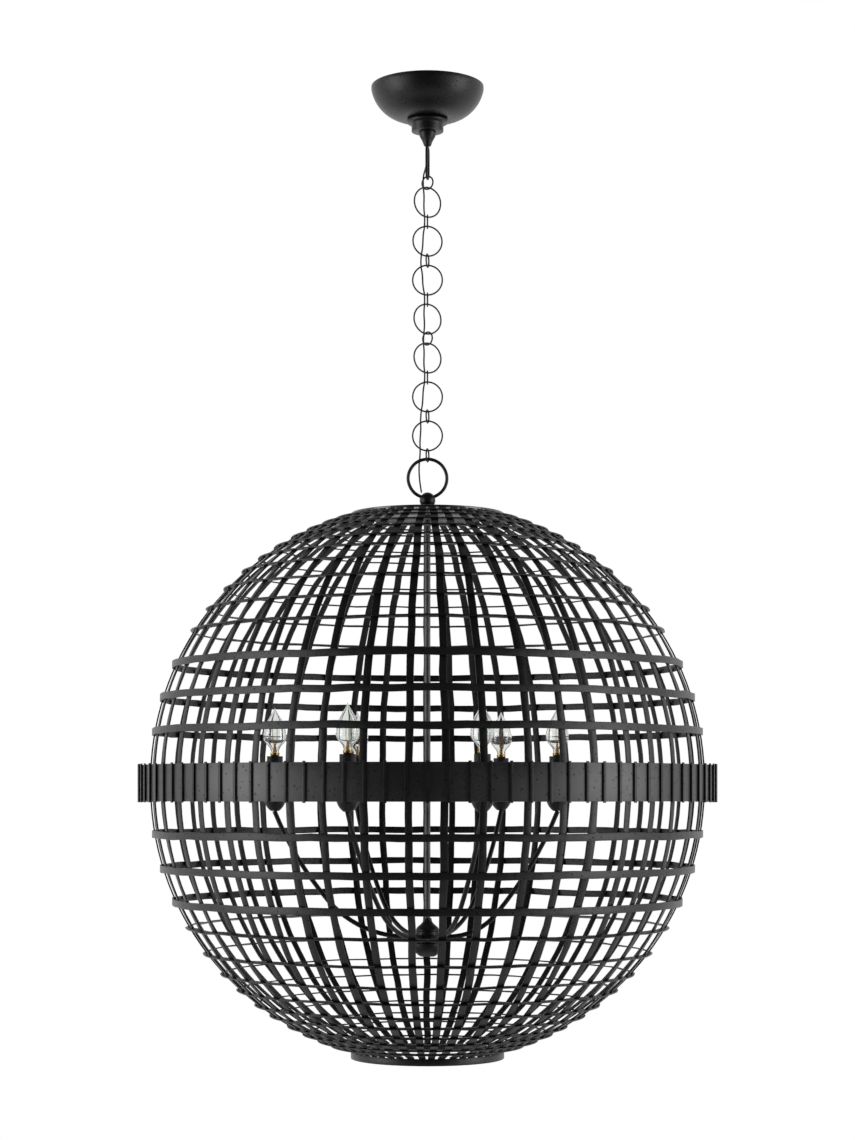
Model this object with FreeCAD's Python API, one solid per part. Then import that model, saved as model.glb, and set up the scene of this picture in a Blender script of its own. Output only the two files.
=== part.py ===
import FreeCAD, Part
import math
import os

# Globe lantern: a ceiling canopy, a chain of large rings joined by small links, and a globe of
# flat iron ribs and rings with a belt at its waist. Inside hangs a cluster of six candle lights.
# Lengths are millimetres and angles are degrees. The origin is the middle of the ceiling plane,
# and everything hangs below it. The front of the lantern faces -Y.

os.makedirs("parts", exist_ok=True)

full_turn = 360.0
quarter_turn = 90.0

# Clearances
seat_gap = 0.25      # between two pieces of one body that rest on each other
curve_gap = 0.35     # between a round face and a piece that stands beside it
cut_over = 2.0       # how far a cutting tool runs past the face that it opens

# Mounting bar and threaded nipple
bar_width = 19.0
bar_thickness = 2.0
bolt_spacing = 88.9
bolt_hole_r = 2.2
bar_past_hole = 5.35     # from a bolt hole's edge to the end of the bar
nipple_r = 4.8
nipple_bore_r = 2.8
nipple_nut_across = 17.0
nipple_nut_height = 4.0

# Canopy
canopy_r = 76.2
canopy_rim_height = 4.0
canopy_depth = 44.0
canopy_wall = 1.2
canopy_shoulder_share = 0.83    # of the canopy radius, where its bowl is half way round
canopy_shoulder_drop_share = 0.66
canopy_flat_r = 30.0

# Collar under the canopy
collar_bead_r = 27.8
collar_bead_height = 6.0
collar_r = 21.7
collar_height = 11.0
collar_bore_depth = 12.0

# Hook loop under the collar
loop_boss_r = 11.6
loop_boss_tip_r = 4.6
loop_boss_height = 19.0
loop_wire_r = 1.8
loop_inner_width = 14.0
loop_height = 46.2
loop_turn = 82.0

# Chain
wire_r = 1.1
small_link_r = 8.65      # to the middle of the wire
large_ring_r = 20.1      # to the middle of the wire
link_gap = 0.15
wire_sides = 6
# Angle of each link's plane about the vertical, from the plane that faces the front
small_link_turns = [-32.0, 90.0, 78.0, 90.0, -42.0, 90.0, 78.0, 78.0]
large_ring_turns = [28.0, 12.0, 0.0, 25.0, 25.0, 0.0, 0.0]

# Hanging ring
hanging_ring_r = 26.25   # to the middle of the wire
hanging_wire_r = 2.25

# Cord
cord_r = 1.1
cord_hole_gap = 0.3
cord_bend_share = 0.45

# Top eye
eye_ball_r = 10.8
eye_ball_over = 3.45     # from the middle of the ball up to the wire that it hangs on
eye_base_r = 9.0
eye_base_height = 18.0
eye_tunnel_gap = 0.5
eye_socket_depth = 11.0

# Top plate
plate_r = 104.0
plate_thickness = 3.0
plate_nut_across = 19.0
plate_nut_height = 5.0

# Globe cage
globe_r = 374.0          # outside of the ribs
globe_waist = 6.8        # straight height between the two halves
strip_width = 9.5
strip_thickness = 2.0
rib_flats = 6            # flats in each half of a rib
mouth_hoop_height = 9.5

# Where each rib stands, as a share of a turn from the front
rib_shares = [
    -0.2067, -0.1850, -0.1614, -0.1386, -0.1161, -0.0964, -0.0747, -0.0556, -0.0333, -0.0097,
    0.0089, 0.0292, 0.0531, 0.0733, 0.0928, 0.1167, 0.1367, 0.1581, 0.1836, 0.2042,
    0.2283, 0.2525, 0.2769, 0.3011, 0.3236, 0.3447, 0.3656, 0.3861, 0.4064, 0.4269,
    0.4506, 0.4672, 0.4842, 0.5008, 0.5294, 0.5500, 0.5711, 0.5922, 0.6133, 0.6344,
    0.6564, 0.6778, 0.6981, 0.7219, 0.7458, 0.7694,
]

# Rings round the globe, on the same scale as the edge of the disc or mouth: that edge lies at
# this share of a right angle from the waist, and the rings follow it
edge_share = 0.8214932
upper_ring_shares = [
    0.112, 0.191, 0.271, 0.358, 0.418, 0.479, 0.538, 0.588, 0.633, 0.678, 0.717, 0.756, 0.789,
]
lower_ring_shares = [
    0.110, 0.191, 0.272, 0.337, 0.408, 0.471, 0.524, 0.577, 0.619, 0.667, 0.706, 0.744, 0.778,
]
# How steep the first rings stand, as a share of upright, and the lean that all later ones keep
ring_lean_shares = [1.0, 1.0, 1.0, 0.34, 0.22]
late_ring_lean_share = 0.17
paired_ring_share = 0.40    # past this share, one flat of a ring spans two ribs

# Belt at the waist
belt_height = 48.0
belt_stand_off = 14.0    # from the outside of the ribs to the outside of the hoop
belt_thickness = 2.5
belt_bars = 96
belt_bar_width = 4.2
belt_bar_depth = 2.4
belt_bar_over = 1.5
belt_bar_taper_share = 0.7
belt_bar_gap = 0.05      # where a bar is spot welded to the hoop
spacer_count = 12
spacer_width = 8.0
spacer_height = 20.0

# Light cluster
stem_r = 4.0
stem_bore_r = 2.6
hub_z = -1152.5          # where the arms leave it
hub_r = 16.0
hub_height = 16.0
hub_cap_height = 17.0
hub_cap_top_r = 5.5
hub_cap_swell_share = 0.92      # of the hub's radius, at the cap's shoulder
hub_cap_shoulder_share = 0.45   # of the cap's height, up to its shoulder
hub_bowl_r = 21.5
hub_bowl_foot_r = 9.5
hub_bowl_depth = 18.5
hub_bowl_wall = 1.5
hub_bowl_swell_share = 0.86     # of the bowl's radius, at its belly
hub_bowl_belly_share = 0.55     # of its depth, down to its belly
arm_wire_r = 3.2
arm_sides = 8
arm_root = 12.0          # level length beside the hub
arm_rise = 170.5         # from the hub to the cups
arm_low_sweep = 50.0     # what an arm turns in its lower, tighter bend
arm_high_sweep = 18.0    # and in its upper, slower bend
# Where each hand-bent arm stands and how far out it holds its cup, round from the left
arm_turns = [-90.0, -31.0, 21.0, 90.0, 148.0, 210.0]
arm_reaches = [207.0, 199.0, 196.0, 176.0, 198.0, 200.0]

# Candles
cup_r = 14.5
cup_foot_r = 5.5
cup_height = 25.0
cup_wall = 1.2
cup_swell_share = 0.88          # of the cup's radius, at its belly
cup_belly_share = 0.34          # of its height, up to its belly
sleeve_r = 10.8
sleeve_wall = 0.9
sleeve_height = 84.0
sleeve_foot_share = 0.3         # of the cup's height, where the sleeve wedges in the bowl
socket_r = 9.2
socket_floor = 30.0
socket_drop = 3.0       # below the top of its sleeve
base_r = 6.2
base_show = 5.0         # how much of the brass base stands above its sleeve
base_height = 24.0
bulb_r = 15.5
bulb_neck_r = 5.4
bulb_height = 50.0
bulb_wall = 0.8
bulb_belly_share = 0.36
bulb_lower_swell_share = 0.45
bulb_upper_swell_share = 0.5
bulb_tip_share = 0.22
filament_r = 0.45
filament_height = 24.0
filament_spread = 6.0
stem_glass_r = 2.6
stem_glass_height = 12.0


def vec(x, y, z):
    return FreeCAD.Vector(x, y, z)


def save(shape, name):
    shape.exportStep("parts/" + name + ".step")
    print(name, len(shape.Solids), "solids, valid:", shape.isValid())


def save_group(solids, name):
    save(Part.makeCompound(solids), name)


def polar(radius, turn, z):
    """A point at a turn about the vertical, counted from the front towards +X."""
    angle = math.radians(turn)
    return vec(radius * math.sin(angle), -radius * math.cos(angle), z)


def turned(shape, turn):
    """The shape turned about the vertical axis, so that its front, -Y, comes to that turn."""
    copy = shape.copy()
    copy.rotate(vec(0, 0, 0), vec(0, 0, 1), turn)
    return copy


def tube(outer_r, inner_r, bottom, top):
    body = Part.makeCylinder(outer_r, top - bottom, vec(0, 0, bottom))
    bore = Part.makeCylinder(inner_r, top - bottom + cut_over * 2, vec(0, 0, bottom - cut_over))
    return body.cut(bore)


def hex_nut(across, bore_r, bottom, height):
    corner_r = across / 2 / math.cos(math.pi / 6)
    corners = [polar(corner_r, full_turn * n / 6, bottom) for n in range(7)]
    body = Part.Face(Part.makePolygon(corners)).extrude(vec(0, 0, height))
    bore = Part.makeCylinder(bore_r, height + cut_over * 2, vec(0, 0, bottom - cut_over))
    return body.cut(bore)


def revolve(edges):
    """A closed outline in the XZ plane, turned once about the vertical axis."""
    wire = Part.Wire(edges)
    return Part.Face(wire).revolve(vec(0, 0, 0), vec(0, 0, 1), full_turn)


def outline(points):
    """Straight edges through points in the XZ plane, given as pairs of radius and height."""
    corners = [vec(r, 0, z) for r, z in points]
    return [Part.LineSegment(a, b).toShape() for a, b in zip(corners, corners[1:])]


def arc(start, middle, end):
    points = [vec(r, 0, z) for r, z in (start, middle, end)]
    return Part.Arc(*points).toShape()


def curve(points):
    """A smooth curve that leaves and meets its ends along the lines to the inner points."""
    bezier = Part.BezierCurve()
    bezier.setPoles([vec(r, 0, z) for r, z in points])
    return bezier.toShape()


def wire_ring(radius, wire, sides, centre, turn):
    """A ring of wire that stands upright, with the many-sided section of drawn and forged wire."""
    section = []
    for n in range(sides + 1):
        angle = 2 * math.pi * (n + 0.5) / sides
        section.append(vec(radius + wire * math.cos(angle), wire * math.sin(angle), 0))
    ring = Part.Face(Part.makePolygon(section)).revolve(vec(0, 0, 0), vec(0, 1, 0), full_turn)
    ring.rotate(vec(0, 0, 0), vec(0, 0, 1), turn)
    ring.translate(centre)
    return ring


def bent_tube(points, radius):
    """A tube along straight runs that are joined by tangent arcs."""
    edges = []
    start = points[0]
    for before, corner, after in zip(points, points[1:], points[2:]):
        come = corner - before
        go = after - corner
        cut = cord_bend_share * min(come.Length, go.Length)
        come.normalize()
        go.normalize()
        half_turn = come.getAngle(go) / 2
        bend_r = cut / math.tan(half_turn)
        first = corner - come * cut
        last = corner + go * cut
        inward = go - come
        inward.normalize()
        middle = corner + inward * (bend_r / math.cos(half_turn) - bend_r)
        edges.append(Part.LineSegment(start, first).toShape())
        edges.append(Part.Arc(first, middle, last).toShape())
        bend_radii.append(bend_r)
        start = last
    edges.append(Part.LineSegment(start, points[-1]).toShape())
    path = Part.Wire(edges)
    along = points[1] - points[0]
    section = Part.Wire(Part.makeCircle(radius, points[0], along))
    solid = path.makePipeShell([section], True, False)
    share = solid.Volume / (math.pi * radius ** 2 * path.Length)
    print("  tube length", round(path.Length, 1), "volume share", round(share, 4))
    return solid


bend_radii = []

# Heights that follow from the sizes above, from the ceiling down
collar_top = -canopy_depth
collar_bottom = collar_top - collar_bead_height - collar_height
loop_boss_bottom = collar_bottom - loop_boss_height
loop_low = loop_boss_bottom - loop_height + loop_wire_r
small_drop = small_link_r * 2 - wire_r * 2 - link_gap
large_drop = large_ring_r * 2 - wire_r * 2 - link_gap
first_small_top = loop_low + loop_wire_r + wire_r + link_gap
chain_pitch = small_drop + large_drop
small_centres = [
    first_small_top - chain_pitch * k - small_link_r for k in range(len(small_link_turns))
]
large_centres = [
    first_small_top - chain_pitch * k - small_drop - large_ring_r
    for k in range(len(large_ring_turns))
]
hanging_centre = (
    small_centres[-1] - small_link_r + wire_r + hanging_wire_r + link_gap - hanging_ring_r
)
hanging_low = hanging_centre - hanging_ring_r
eye_centre = hanging_low - eye_ball_over
plate_top = eye_centre - eye_base_height
plate_bottom = plate_top - plate_thickness
end_height = math.sqrt(globe_r ** 2 - (plate_r - seat_gap * 2) ** 2)
upper_centre = plate_bottom - end_height
lower_centre = upper_centre - globe_waist
waist_centre = (upper_centre + lower_centre) / 2
mouth_top = lower_centre - end_height
mouth_bottom = mouth_top - mouth_hoop_height
end_rise = math.degrees(math.asin(end_height / globe_r))
belt_r = globe_r + belt_stand_off
belt_inner_r = belt_r - belt_thickness


# Canopy group, which is screwed to the ceiling

def mounting_bar():
    bar_length = bolt_spacing + (bolt_hole_r + bar_past_hole) * 2
    bar = Part.makeBox(
        bar_length, bar_width, bar_thickness,
        vec(-bar_length / 2, -bar_width / 2, -bar_thickness),
    )
    for x in (-bolt_spacing / 2, bolt_spacing / 2):
        drill = vec(x, 0, -bar_thickness - cut_over)
        bar = bar.cut(Part.makeCylinder(bolt_hole_r, bar_thickness + cut_over * 2, drill))
    drill = vec(0, 0, -bar_thickness - cut_over)
    return bar.cut(Part.makeCylinder(nipple_r + seat_gap, bar_thickness + cut_over * 2, drill))


def threaded_nipple():
    return tube(nipple_r, nipple_bore_r, collar_top - collar_bore_depth + seat_gap, 0)


def canopy_dish():
    """A spun bowl, open at the ceiling, with a hole for the nipple in its floor."""
    hole_r = nipple_r + seat_gap
    shoulder = (canopy_r * canopy_shoulder_share, -canopy_depth * canopy_shoulder_drop_share)
    inner_shoulder = (shoulder[0] - canopy_wall, shoulder[1] + canopy_wall)
    inner_r = canopy_r - canopy_wall
    floor = -canopy_depth + canopy_wall
    edges = outline([(canopy_r, 0), (canopy_r, -canopy_rim_height)])
    edges.append(arc((canopy_r, -canopy_rim_height), shoulder, (canopy_flat_r, -canopy_depth)))
    edges += outline([(canopy_flat_r, -canopy_depth), (hole_r, -canopy_depth), (hole_r, floor),
                      (canopy_flat_r, floor)])
    edges.append(arc((canopy_flat_r, floor), inner_shoulder, (inner_r, -canopy_rim_height)))
    edges += outline([(inner_r, -canopy_rim_height), (inner_r, 0), (canopy_r, 0)])
    return revolve(edges)


def canopy_collar():
    """A turned knob with a bead, screwed up the nipple to hold the canopy."""
    bead_low = collar_top - collar_bead_height
    bead_inner = collar_bead_r - collar_bead_height / 2
    bore_r = nipple_r + seat_gap
    bore_end = collar_top - collar_bore_depth
    wire_hole_r = cord_r + cord_hole_gap
    edges = outline([(bore_r, collar_top), (bead_inner, collar_top)])
    edges.append(arc((bead_inner, collar_top), (collar_bead_r, (collar_top + bead_low) / 2),
                     (bead_inner, bead_low)))
    edges += outline([(bead_inner, bead_low), (collar_r, bead_low), (collar_r, collar_bottom),
                      (wire_hole_r, collar_bottom), (wire_hole_r, bore_end),
                      (bore_r, bore_end), (bore_r, collar_top)])
    return revolve(edges)


def hook_loop():
    """A cone with a long oval eye of thick wire. The cord leaves through the cone's tip."""
    hole_r = cord_r + cord_hole_gap
    cone = Part.makeCone(
        loop_boss_tip_r, loop_boss_r, loop_boss_height, vec(0, 0, loop_boss_bottom)
    )
    half_width = loop_inner_width / 2 + loop_wire_r
    top = loop_boss_bottom
    high_bend = top - half_width
    low_bend = loop_low + half_width
    side = Part.LineSegment(vec(half_width, 0, high_bend), vec(half_width, 0, low_bend))
    low = Part.Arc(vec(half_width, 0, low_bend), vec(0, 0, loop_low),
                   vec(-half_width, 0, low_bend))
    back = Part.LineSegment(vec(-half_width, 0, low_bend), vec(-half_width, 0, high_bend))
    high = Part.Arc(vec(-half_width, 0, high_bend), vec(0, 0, top), vec(half_width, 0, high_bend))
    path = Part.Wire([edge.toShape() for edge in (side, low, back, high)])
    section = Part.Wire(Part.makeCircle(loop_wire_r, vec(half_width, 0, high_bend), vec(0, 0, 1)))
    eye = path.makePipeShell([section], True, False)
    whole = cone.fuse(eye)
    drill = vec(0, 0, top - loop_wire_r - cut_over)
    bore = Part.makeCylinder(hole_r, loop_boss_height + loop_wire_r + cut_over * 2, drill)
    loop = whole.cut(bore).removeSplitter()
    return turned(loop, loop_turn)


# Globe cage

def rib_latitudes():
    return [end_rise * n / rib_flats for n in range(rib_flats)]


def rib_profile(radius):
    """Corners of a rib's face in one half, from the waist to the cut end under the plate."""
    points = []
    for latitude in rib_latitudes():
        angle = math.radians(latitude)
        points.append((radius * math.cos(angle), radius * math.sin(angle)))
    points.append((math.sqrt(radius ** 2 - end_height ** 2), end_height))
    return points


def rib(turn):
    """One flat iron strip, bent from the plate at the top to the hoop at the mouth."""
    outer = rib_profile(globe_r)
    inner = rib_profile(globe_r - strip_thickness)
    half = strip_width / 2
    face = [vec(r, -half, upper_centre + h) for r, h in reversed(outer)]
    face += [vec(r, -half, lower_centre - h) for r, h in outer]
    face += [vec(r, -half, lower_centre - h) for r, h in reversed(inner)]
    face += [vec(r, -half, upper_centre + h) for r, h in inner]
    face.append(face[0])
    strip = Part.Face(Part.makePolygon(face)).extrude(vec(0, strip_width, 0))
    return turned(strip, turn - quarter_turn)


def rib_distance(latitude):
    """How far the flat outside of a rib lies from the middle of its half, at a latitude."""
    step = end_rise / rib_flats
    middle = (math.floor(latitude / step) + 0.5) * step
    along = globe_r * math.cos(math.radians(step / 2))
    return along / math.cos(math.radians(latitude - middle))


def ring_section(latitude, lean, side):
    """Corners of a ring's strip as pairs of radius and height. Its edge rests on the ribs.

    The lean is counted from level. A strip steeper than the rib under it rests on its outer
    edge, and a flatter one on its inner edge. The side is 1 above the waist and -1 below.
    """
    steep = lean > quarter_turn - latitude
    slide = strip_width / 2 * math.cos(math.radians(quarter_turn - latitude - lean))
    shift = math.degrees(slide / globe_r)
    rest = math.radians(latitude - shift if steep else latitude + shift)
    reach = rib_distance(math.degrees(rest)) + seat_gap
    foot = (reach * math.cos(rest), reach * math.sin(rest))
    angle = math.radians(lean)
    along = (-math.cos(angle) * strip_width, math.sin(angle) * strip_width)
    if not steep:
        along = (-along[0], -along[1])
    thick = (math.sin(angle) * strip_thickness, math.cos(angle) * strip_thickness)
    corners = [
        foot,
        (foot[0] + along[0], foot[1] + along[1]),
        (foot[0] + along[0] + thick[0], foot[1] + along[1] + thick[1]),
        (foot[0] + thick[0], foot[1] + thick[1]),
    ]
    centre = upper_centre if side > 0 else lower_centre
    return [(r, centre + side * h) for r, h in corners]


def flat_turns(paired):
    """The turns that a ring's flats face: one rib each, or the middle of each pair of ribs."""
    turns = [full_turn * share for share in rib_shares]
    if not paired:
        return turns
    return [(a + b) / 2 for a, b in zip(turns[::2], turns[1::2])]


def strip_ring(section, turns):
    """A ring of flats that face the given turns, each with the section at its middle."""
    corners = []
    following = turns[1:] + [turns[0] + full_turn]
    for here, there in zip(turns, following):
        stretch = 1 / math.cos(math.radians(there - here) / 2)
        corners.append([polar(r * stretch, (here + there) / 2, z) for r, z in section])
    faces = []
    for this, after in zip(corners, corners[1:] + corners[:1]):
        for n in range(len(section)):
            m = (n + 1) % len(section)
            quad = [this[n], this[m], after[m], after[n], this[n]]
            faces.append(Part.Face(Part.makePolygon(quad)))
    shell = Part.makeShell(faces)
    shell.sewShape()
    solid = Part.Solid(shell)
    if solid.Volume < 0:
        solid.reverse()
    return solid


def cage_rings(shares, side):
    rings = []
    for n, share in enumerate(shares):
        lean_share = ring_lean_shares[n] if n < len(ring_lean_shares) else late_ring_lean_share
        latitude = end_rise * share / edge_share
        section = ring_section(latitude, lean_share * quarter_turn, side)
        rings.append(strip_ring(section, flat_turns(share > paired_ring_share)))
    return rings


def belt_bar(turn):
    """A raised upright bar on the outside of the belt, narrower at its face than at its root."""
    root = belt_r + belt_bar_gap
    face = root + belt_bar_depth
    half = belt_bar_width / 2
    narrow = half * belt_bar_taper_share
    bottom = waist_centre - belt_height / 2 - belt_bar_over
    points = [vec(root, -half, bottom), vec(face, -narrow, bottom), vec(face, narrow, bottom),
              vec(root, half, bottom)]
    points.append(points[0])
    bar = Part.Face(Part.makePolygon(points)).extrude(vec(0, 0, belt_height + belt_bar_over * 2))
    return turned(bar, turn)


def belt_spacer(turn):
    """A block that holds the belt off a rib."""
    start = globe_r + seat_gap
    end = belt_inner_r - curve_gap
    corner = vec(start, -spacer_width / 2, waist_centre - spacer_height / 2)
    return turned(Part.makeBox(end - start, spacer_width, spacer_height, corner),
                  turn - quarter_turn)


def top_eye():
    """The ball that the globe hangs by, with a tunnel for the hanging ring and a cord hole."""
    ball = Part.makeSphere(eye_ball_r, vec(0, 0, eye_centre))
    base = Part.makeCylinder(eye_base_r, eye_centre - plate_top, vec(0, 0, plate_top))
    eye = ball.fuse(base)
    tunnel = Part.makeTorus(
        hanging_ring_r, hanging_wire_r + eye_tunnel_gap, vec(0, 0, hanging_centre), vec(0, 1, 0)
    )
    socket = Part.makeCylinder(
        stem_r + seat_gap, eye_socket_depth + cut_over, vec(0, 0, plate_top - cut_over)
    )
    along = cord_inside[0] - cord_inside[1]
    reach = along.Length + cut_over * 2
    hole = Part.makeCylinder(cord_r + cord_hole_gap, reach, cord_inside[1], along)
    return eye.cut(tunnel).cut(socket).cut(hole).removeSplitter()


# Light cluster

def stem():
    return tube(stem_r, stem_bore_r, hub_z, plate_top + eye_socket_depth - seat_gap)


def hub_body():
    """A drum that the arms are welded to, bored for the stem."""
    bottom = hub_z - hub_height / 2
    drum = Part.makeCylinder(hub_r, hub_height, vec(0, 0, bottom))
    socket = Part.makeCylinder(stem_r + seat_gap, hub_height, vec(0, 0, hub_z - seat_gap))
    return drum.cut(socket)


def hub_cap():
    """A domed cap that slides down the stem on to the drum."""
    low = hub_z + hub_height / 2 + seat_gap
    top = low + hub_cap_height
    bore_r = stem_r + seat_gap
    shoulder = (hub_r * hub_cap_swell_share, low + hub_cap_height * hub_cap_shoulder_share)
    edges = outline([(bore_r, low), (hub_r, low)])
    edges.append(curve([(hub_r, low), shoulder, (hub_cap_top_r, shoulder[1]),
                        (hub_cap_top_r, top)]))
    edges += outline([(hub_cap_top_r, top), (bore_r, top), (bore_r, low)])
    return revolve(edges)


def hub_finial():
    """An open bowl that is screwed up against the drum from below."""
    top = hub_z - hub_height / 2 - seat_gap
    floor = top - hub_bowl_depth
    inner_r = hub_bowl_r - hub_bowl_wall
    belly = (hub_bowl_r * hub_bowl_swell_share, top - hub_bowl_depth * hub_bowl_belly_share)
    inner_belly = (belly[0] - hub_bowl_wall, belly[1] + hub_bowl_wall / 2)
    edges = outline([(0, top), (0, floor), (hub_bowl_foot_r, floor)])
    edges.append(arc((hub_bowl_foot_r, floor), belly, (hub_bowl_r, top)))
    edges += outline([(hub_bowl_r, top), (inner_r, top)])
    edges.append(arc((inner_r, top), inner_belly, (hub_bowl_foot_r, floor + hub_bowl_wall)))
    edges += outline([(hub_bowl_foot_r, floor + hub_bowl_wall), (hub_bowl_foot_r, top),
                      (0, top)])
    return revolve(edges)


arm_start = hub_r + curve_gap
arm_top = hub_z + arm_rise
cup_top = arm_top + cup_height
cup_floor = arm_top + cup_wall
sleeve_top = cup_floor + sleeve_height
bulb_low = sleeve_top + base_show


def arm_bends(reach):
    """Radii of an arm's two bends, which bring its tip under a cup at that reach."""
    low = math.radians(arm_low_sweep)
    high = math.radians(arm_low_sweep + arm_high_sweep)
    rise = arm_rise - seat_gap - arm_wire_r * math.cos(high)
    span = reach - arm_start - arm_root
    low_rise = 1 - math.cos(low)
    low_span = math.sin(low)
    high_rise = math.cos(low) - math.cos(high)
    high_span = math.sin(high) - math.sin(low)
    whole = low_rise * high_span - high_rise * low_span
    return ((rise * high_span - span * high_rise) / whole,
            (span * low_rise - rise * low_span) / whole)


def arm(reach):
    """A rod that leaves the hub level and sweeps up in two bends to its cup."""
    low_r, high_r = arm_bends(reach)
    section = []
    for n in range(arm_sides + 1):
        angle = 2 * math.pi * (n + 0.5) / arm_sides
        section.append(vec(0, arm_wire_r * math.cos(angle), hub_z + arm_wire_r * math.sin(angle)))
    face = Part.Face(Part.makePolygon(section))
    face.translate(vec(arm_start, 0, 0))
    root = face.extrude(vec(arm_root, 0, 0))
    face.translate(vec(arm_root, 0, 0))
    centre = vec(arm_start + arm_root, 0, hub_z + low_r)
    low = face.revolve(centre, vec(0, -1, 0), arm_low_sweep)
    face.rotate(centre, vec(0, -1, 0), arm_low_sweep)
    lean = math.radians(arm_low_sweep)
    inward = vec(-math.sin(lean), 0, math.cos(lean))
    high = face.revolve(centre + inward * (high_r - low_r), vec(0, -1, 0), arm_high_sweep)
    return root.fuse([low, high]).removeSplitter()


def at_arm_ends(shape):
    """Copies of an upright piece, one over the end of each arm."""
    copies = []
    for turn, reach in zip(arm_turns, arm_reaches):
        copy = shape.copy()
        copy.translate(polar(reach, turn, 0))
        copies.append(copy)
    return copies


def cup():
    """A small bowl that catches the foot of the candle."""
    inner_r = cup_r - cup_wall
    outer_mid = (cup_r * cup_swell_share, arm_top + cup_height * cup_belly_share)
    inner_mid = (outer_mid[0] - cup_wall, outer_mid[1] + cup_wall / 2)
    edges = outline([(0, cup_floor), (0, arm_top), (cup_foot_r, arm_top)])
    edges.append(arc((cup_foot_r, arm_top), outer_mid, (cup_r, cup_top)))
    edges += outline([(cup_r, cup_top), (inner_r, cup_top)])
    edges.append(arc((inner_r, cup_top), inner_mid, (cup_foot_r, cup_floor)))
    edges += outline([(cup_foot_r, cup_floor), (0, cup_floor)])
    return revolve(edges)


def candle_sleeve():
    foot = cup_floor + cup_height * sleeve_foot_share
    return tube(sleeve_r, sleeve_r - sleeve_wall, foot, sleeve_top)


def socket():
    """The lamp holder inside the sleeve, standing on a short foot in the cup."""
    top = sleeve_top - socket_drop
    body = Part.makeCylinder(socket_r, top - cup_floor - socket_floor / 2,
                             vec(0, 0, cup_floor + socket_floor / 2))
    foot = Part.makeCylinder(cup_foot_r - seat_gap, socket_floor / 2, vec(0, 0, cup_floor))
    well = Part.makeCylinder(base_r + seat_gap, base_height, vec(0, 0, bulb_low - base_height))
    return body.fuse(foot).cut(well).removeSplitter()


def bulb_base():
    return Part.makeCylinder(base_r, base_height - seat_gap,
                             vec(0, 0, bulb_low - base_height + seat_gap))


def flame_sides(wall):
    """The flame outline of the glass, less a wall: its neck, its tip and the curves between."""
    low = bulb_low + seat_gap
    high = low + bulb_height - wall
    belly = low + bulb_height * bulb_belly_share
    neck_r = bulb_neck_r - wall
    widest_r = bulb_r - wall
    lift = (belly - low) * bulb_lower_swell_share
    rise = (high - belly) * bulb_upper_swell_share
    lower = curve([(neck_r, low), (neck_r, low + lift), (widest_r, belly - lift),
                   (widest_r, belly)])
    upper = curve([(widest_r, belly), (widest_r, belly + rise),
                   (widest_r * bulb_tip_share, high - rise / 2), (0, high)])
    return (neck_r, low), (0, high), [lower, upper]


def bulb_glass():
    """A thin flame-shaped glass, open at its neck."""
    neck, tip, outer = flame_sides(0)
    inner_neck, inner_tip, inner = flame_sides(bulb_wall)
    edges = outer + outline([tip, inner_tip]) + inner[::-1] + outline([inner_neck, neck])
    return revolve(edges)


def filament():
    """A glass stem with a hairpin of wire on it."""
    low = bulb_low + seat_gap
    stem_part = Part.makeCylinder(stem_glass_r, stem_glass_height, vec(0, 0, low))
    foot = low + stem_glass_height - filament_r
    half = filament_spread / 2
    half_width = filament_r
    legs = []
    for x in (-half, half):
        legs.append(Part.makeBox(half_width * 2, half_width * 2, filament_height,
                                 vec(x - half_width, -half_width, foot)))
    spread = filament_spread + half_width * 2
    joint = Part.makeBox(spread, half_width * 2, half_width * 2,
                         vec(-spread / 2, -half_width, foot))
    top = Part.makeBox(spread, half_width * 2, half_width * 2,
                       vec(-spread / 2, -half_width, foot + filament_height - half_width))
    return stem_part.fuse([legs[0], legs[1], joint, top]).removeSplitter()


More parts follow.
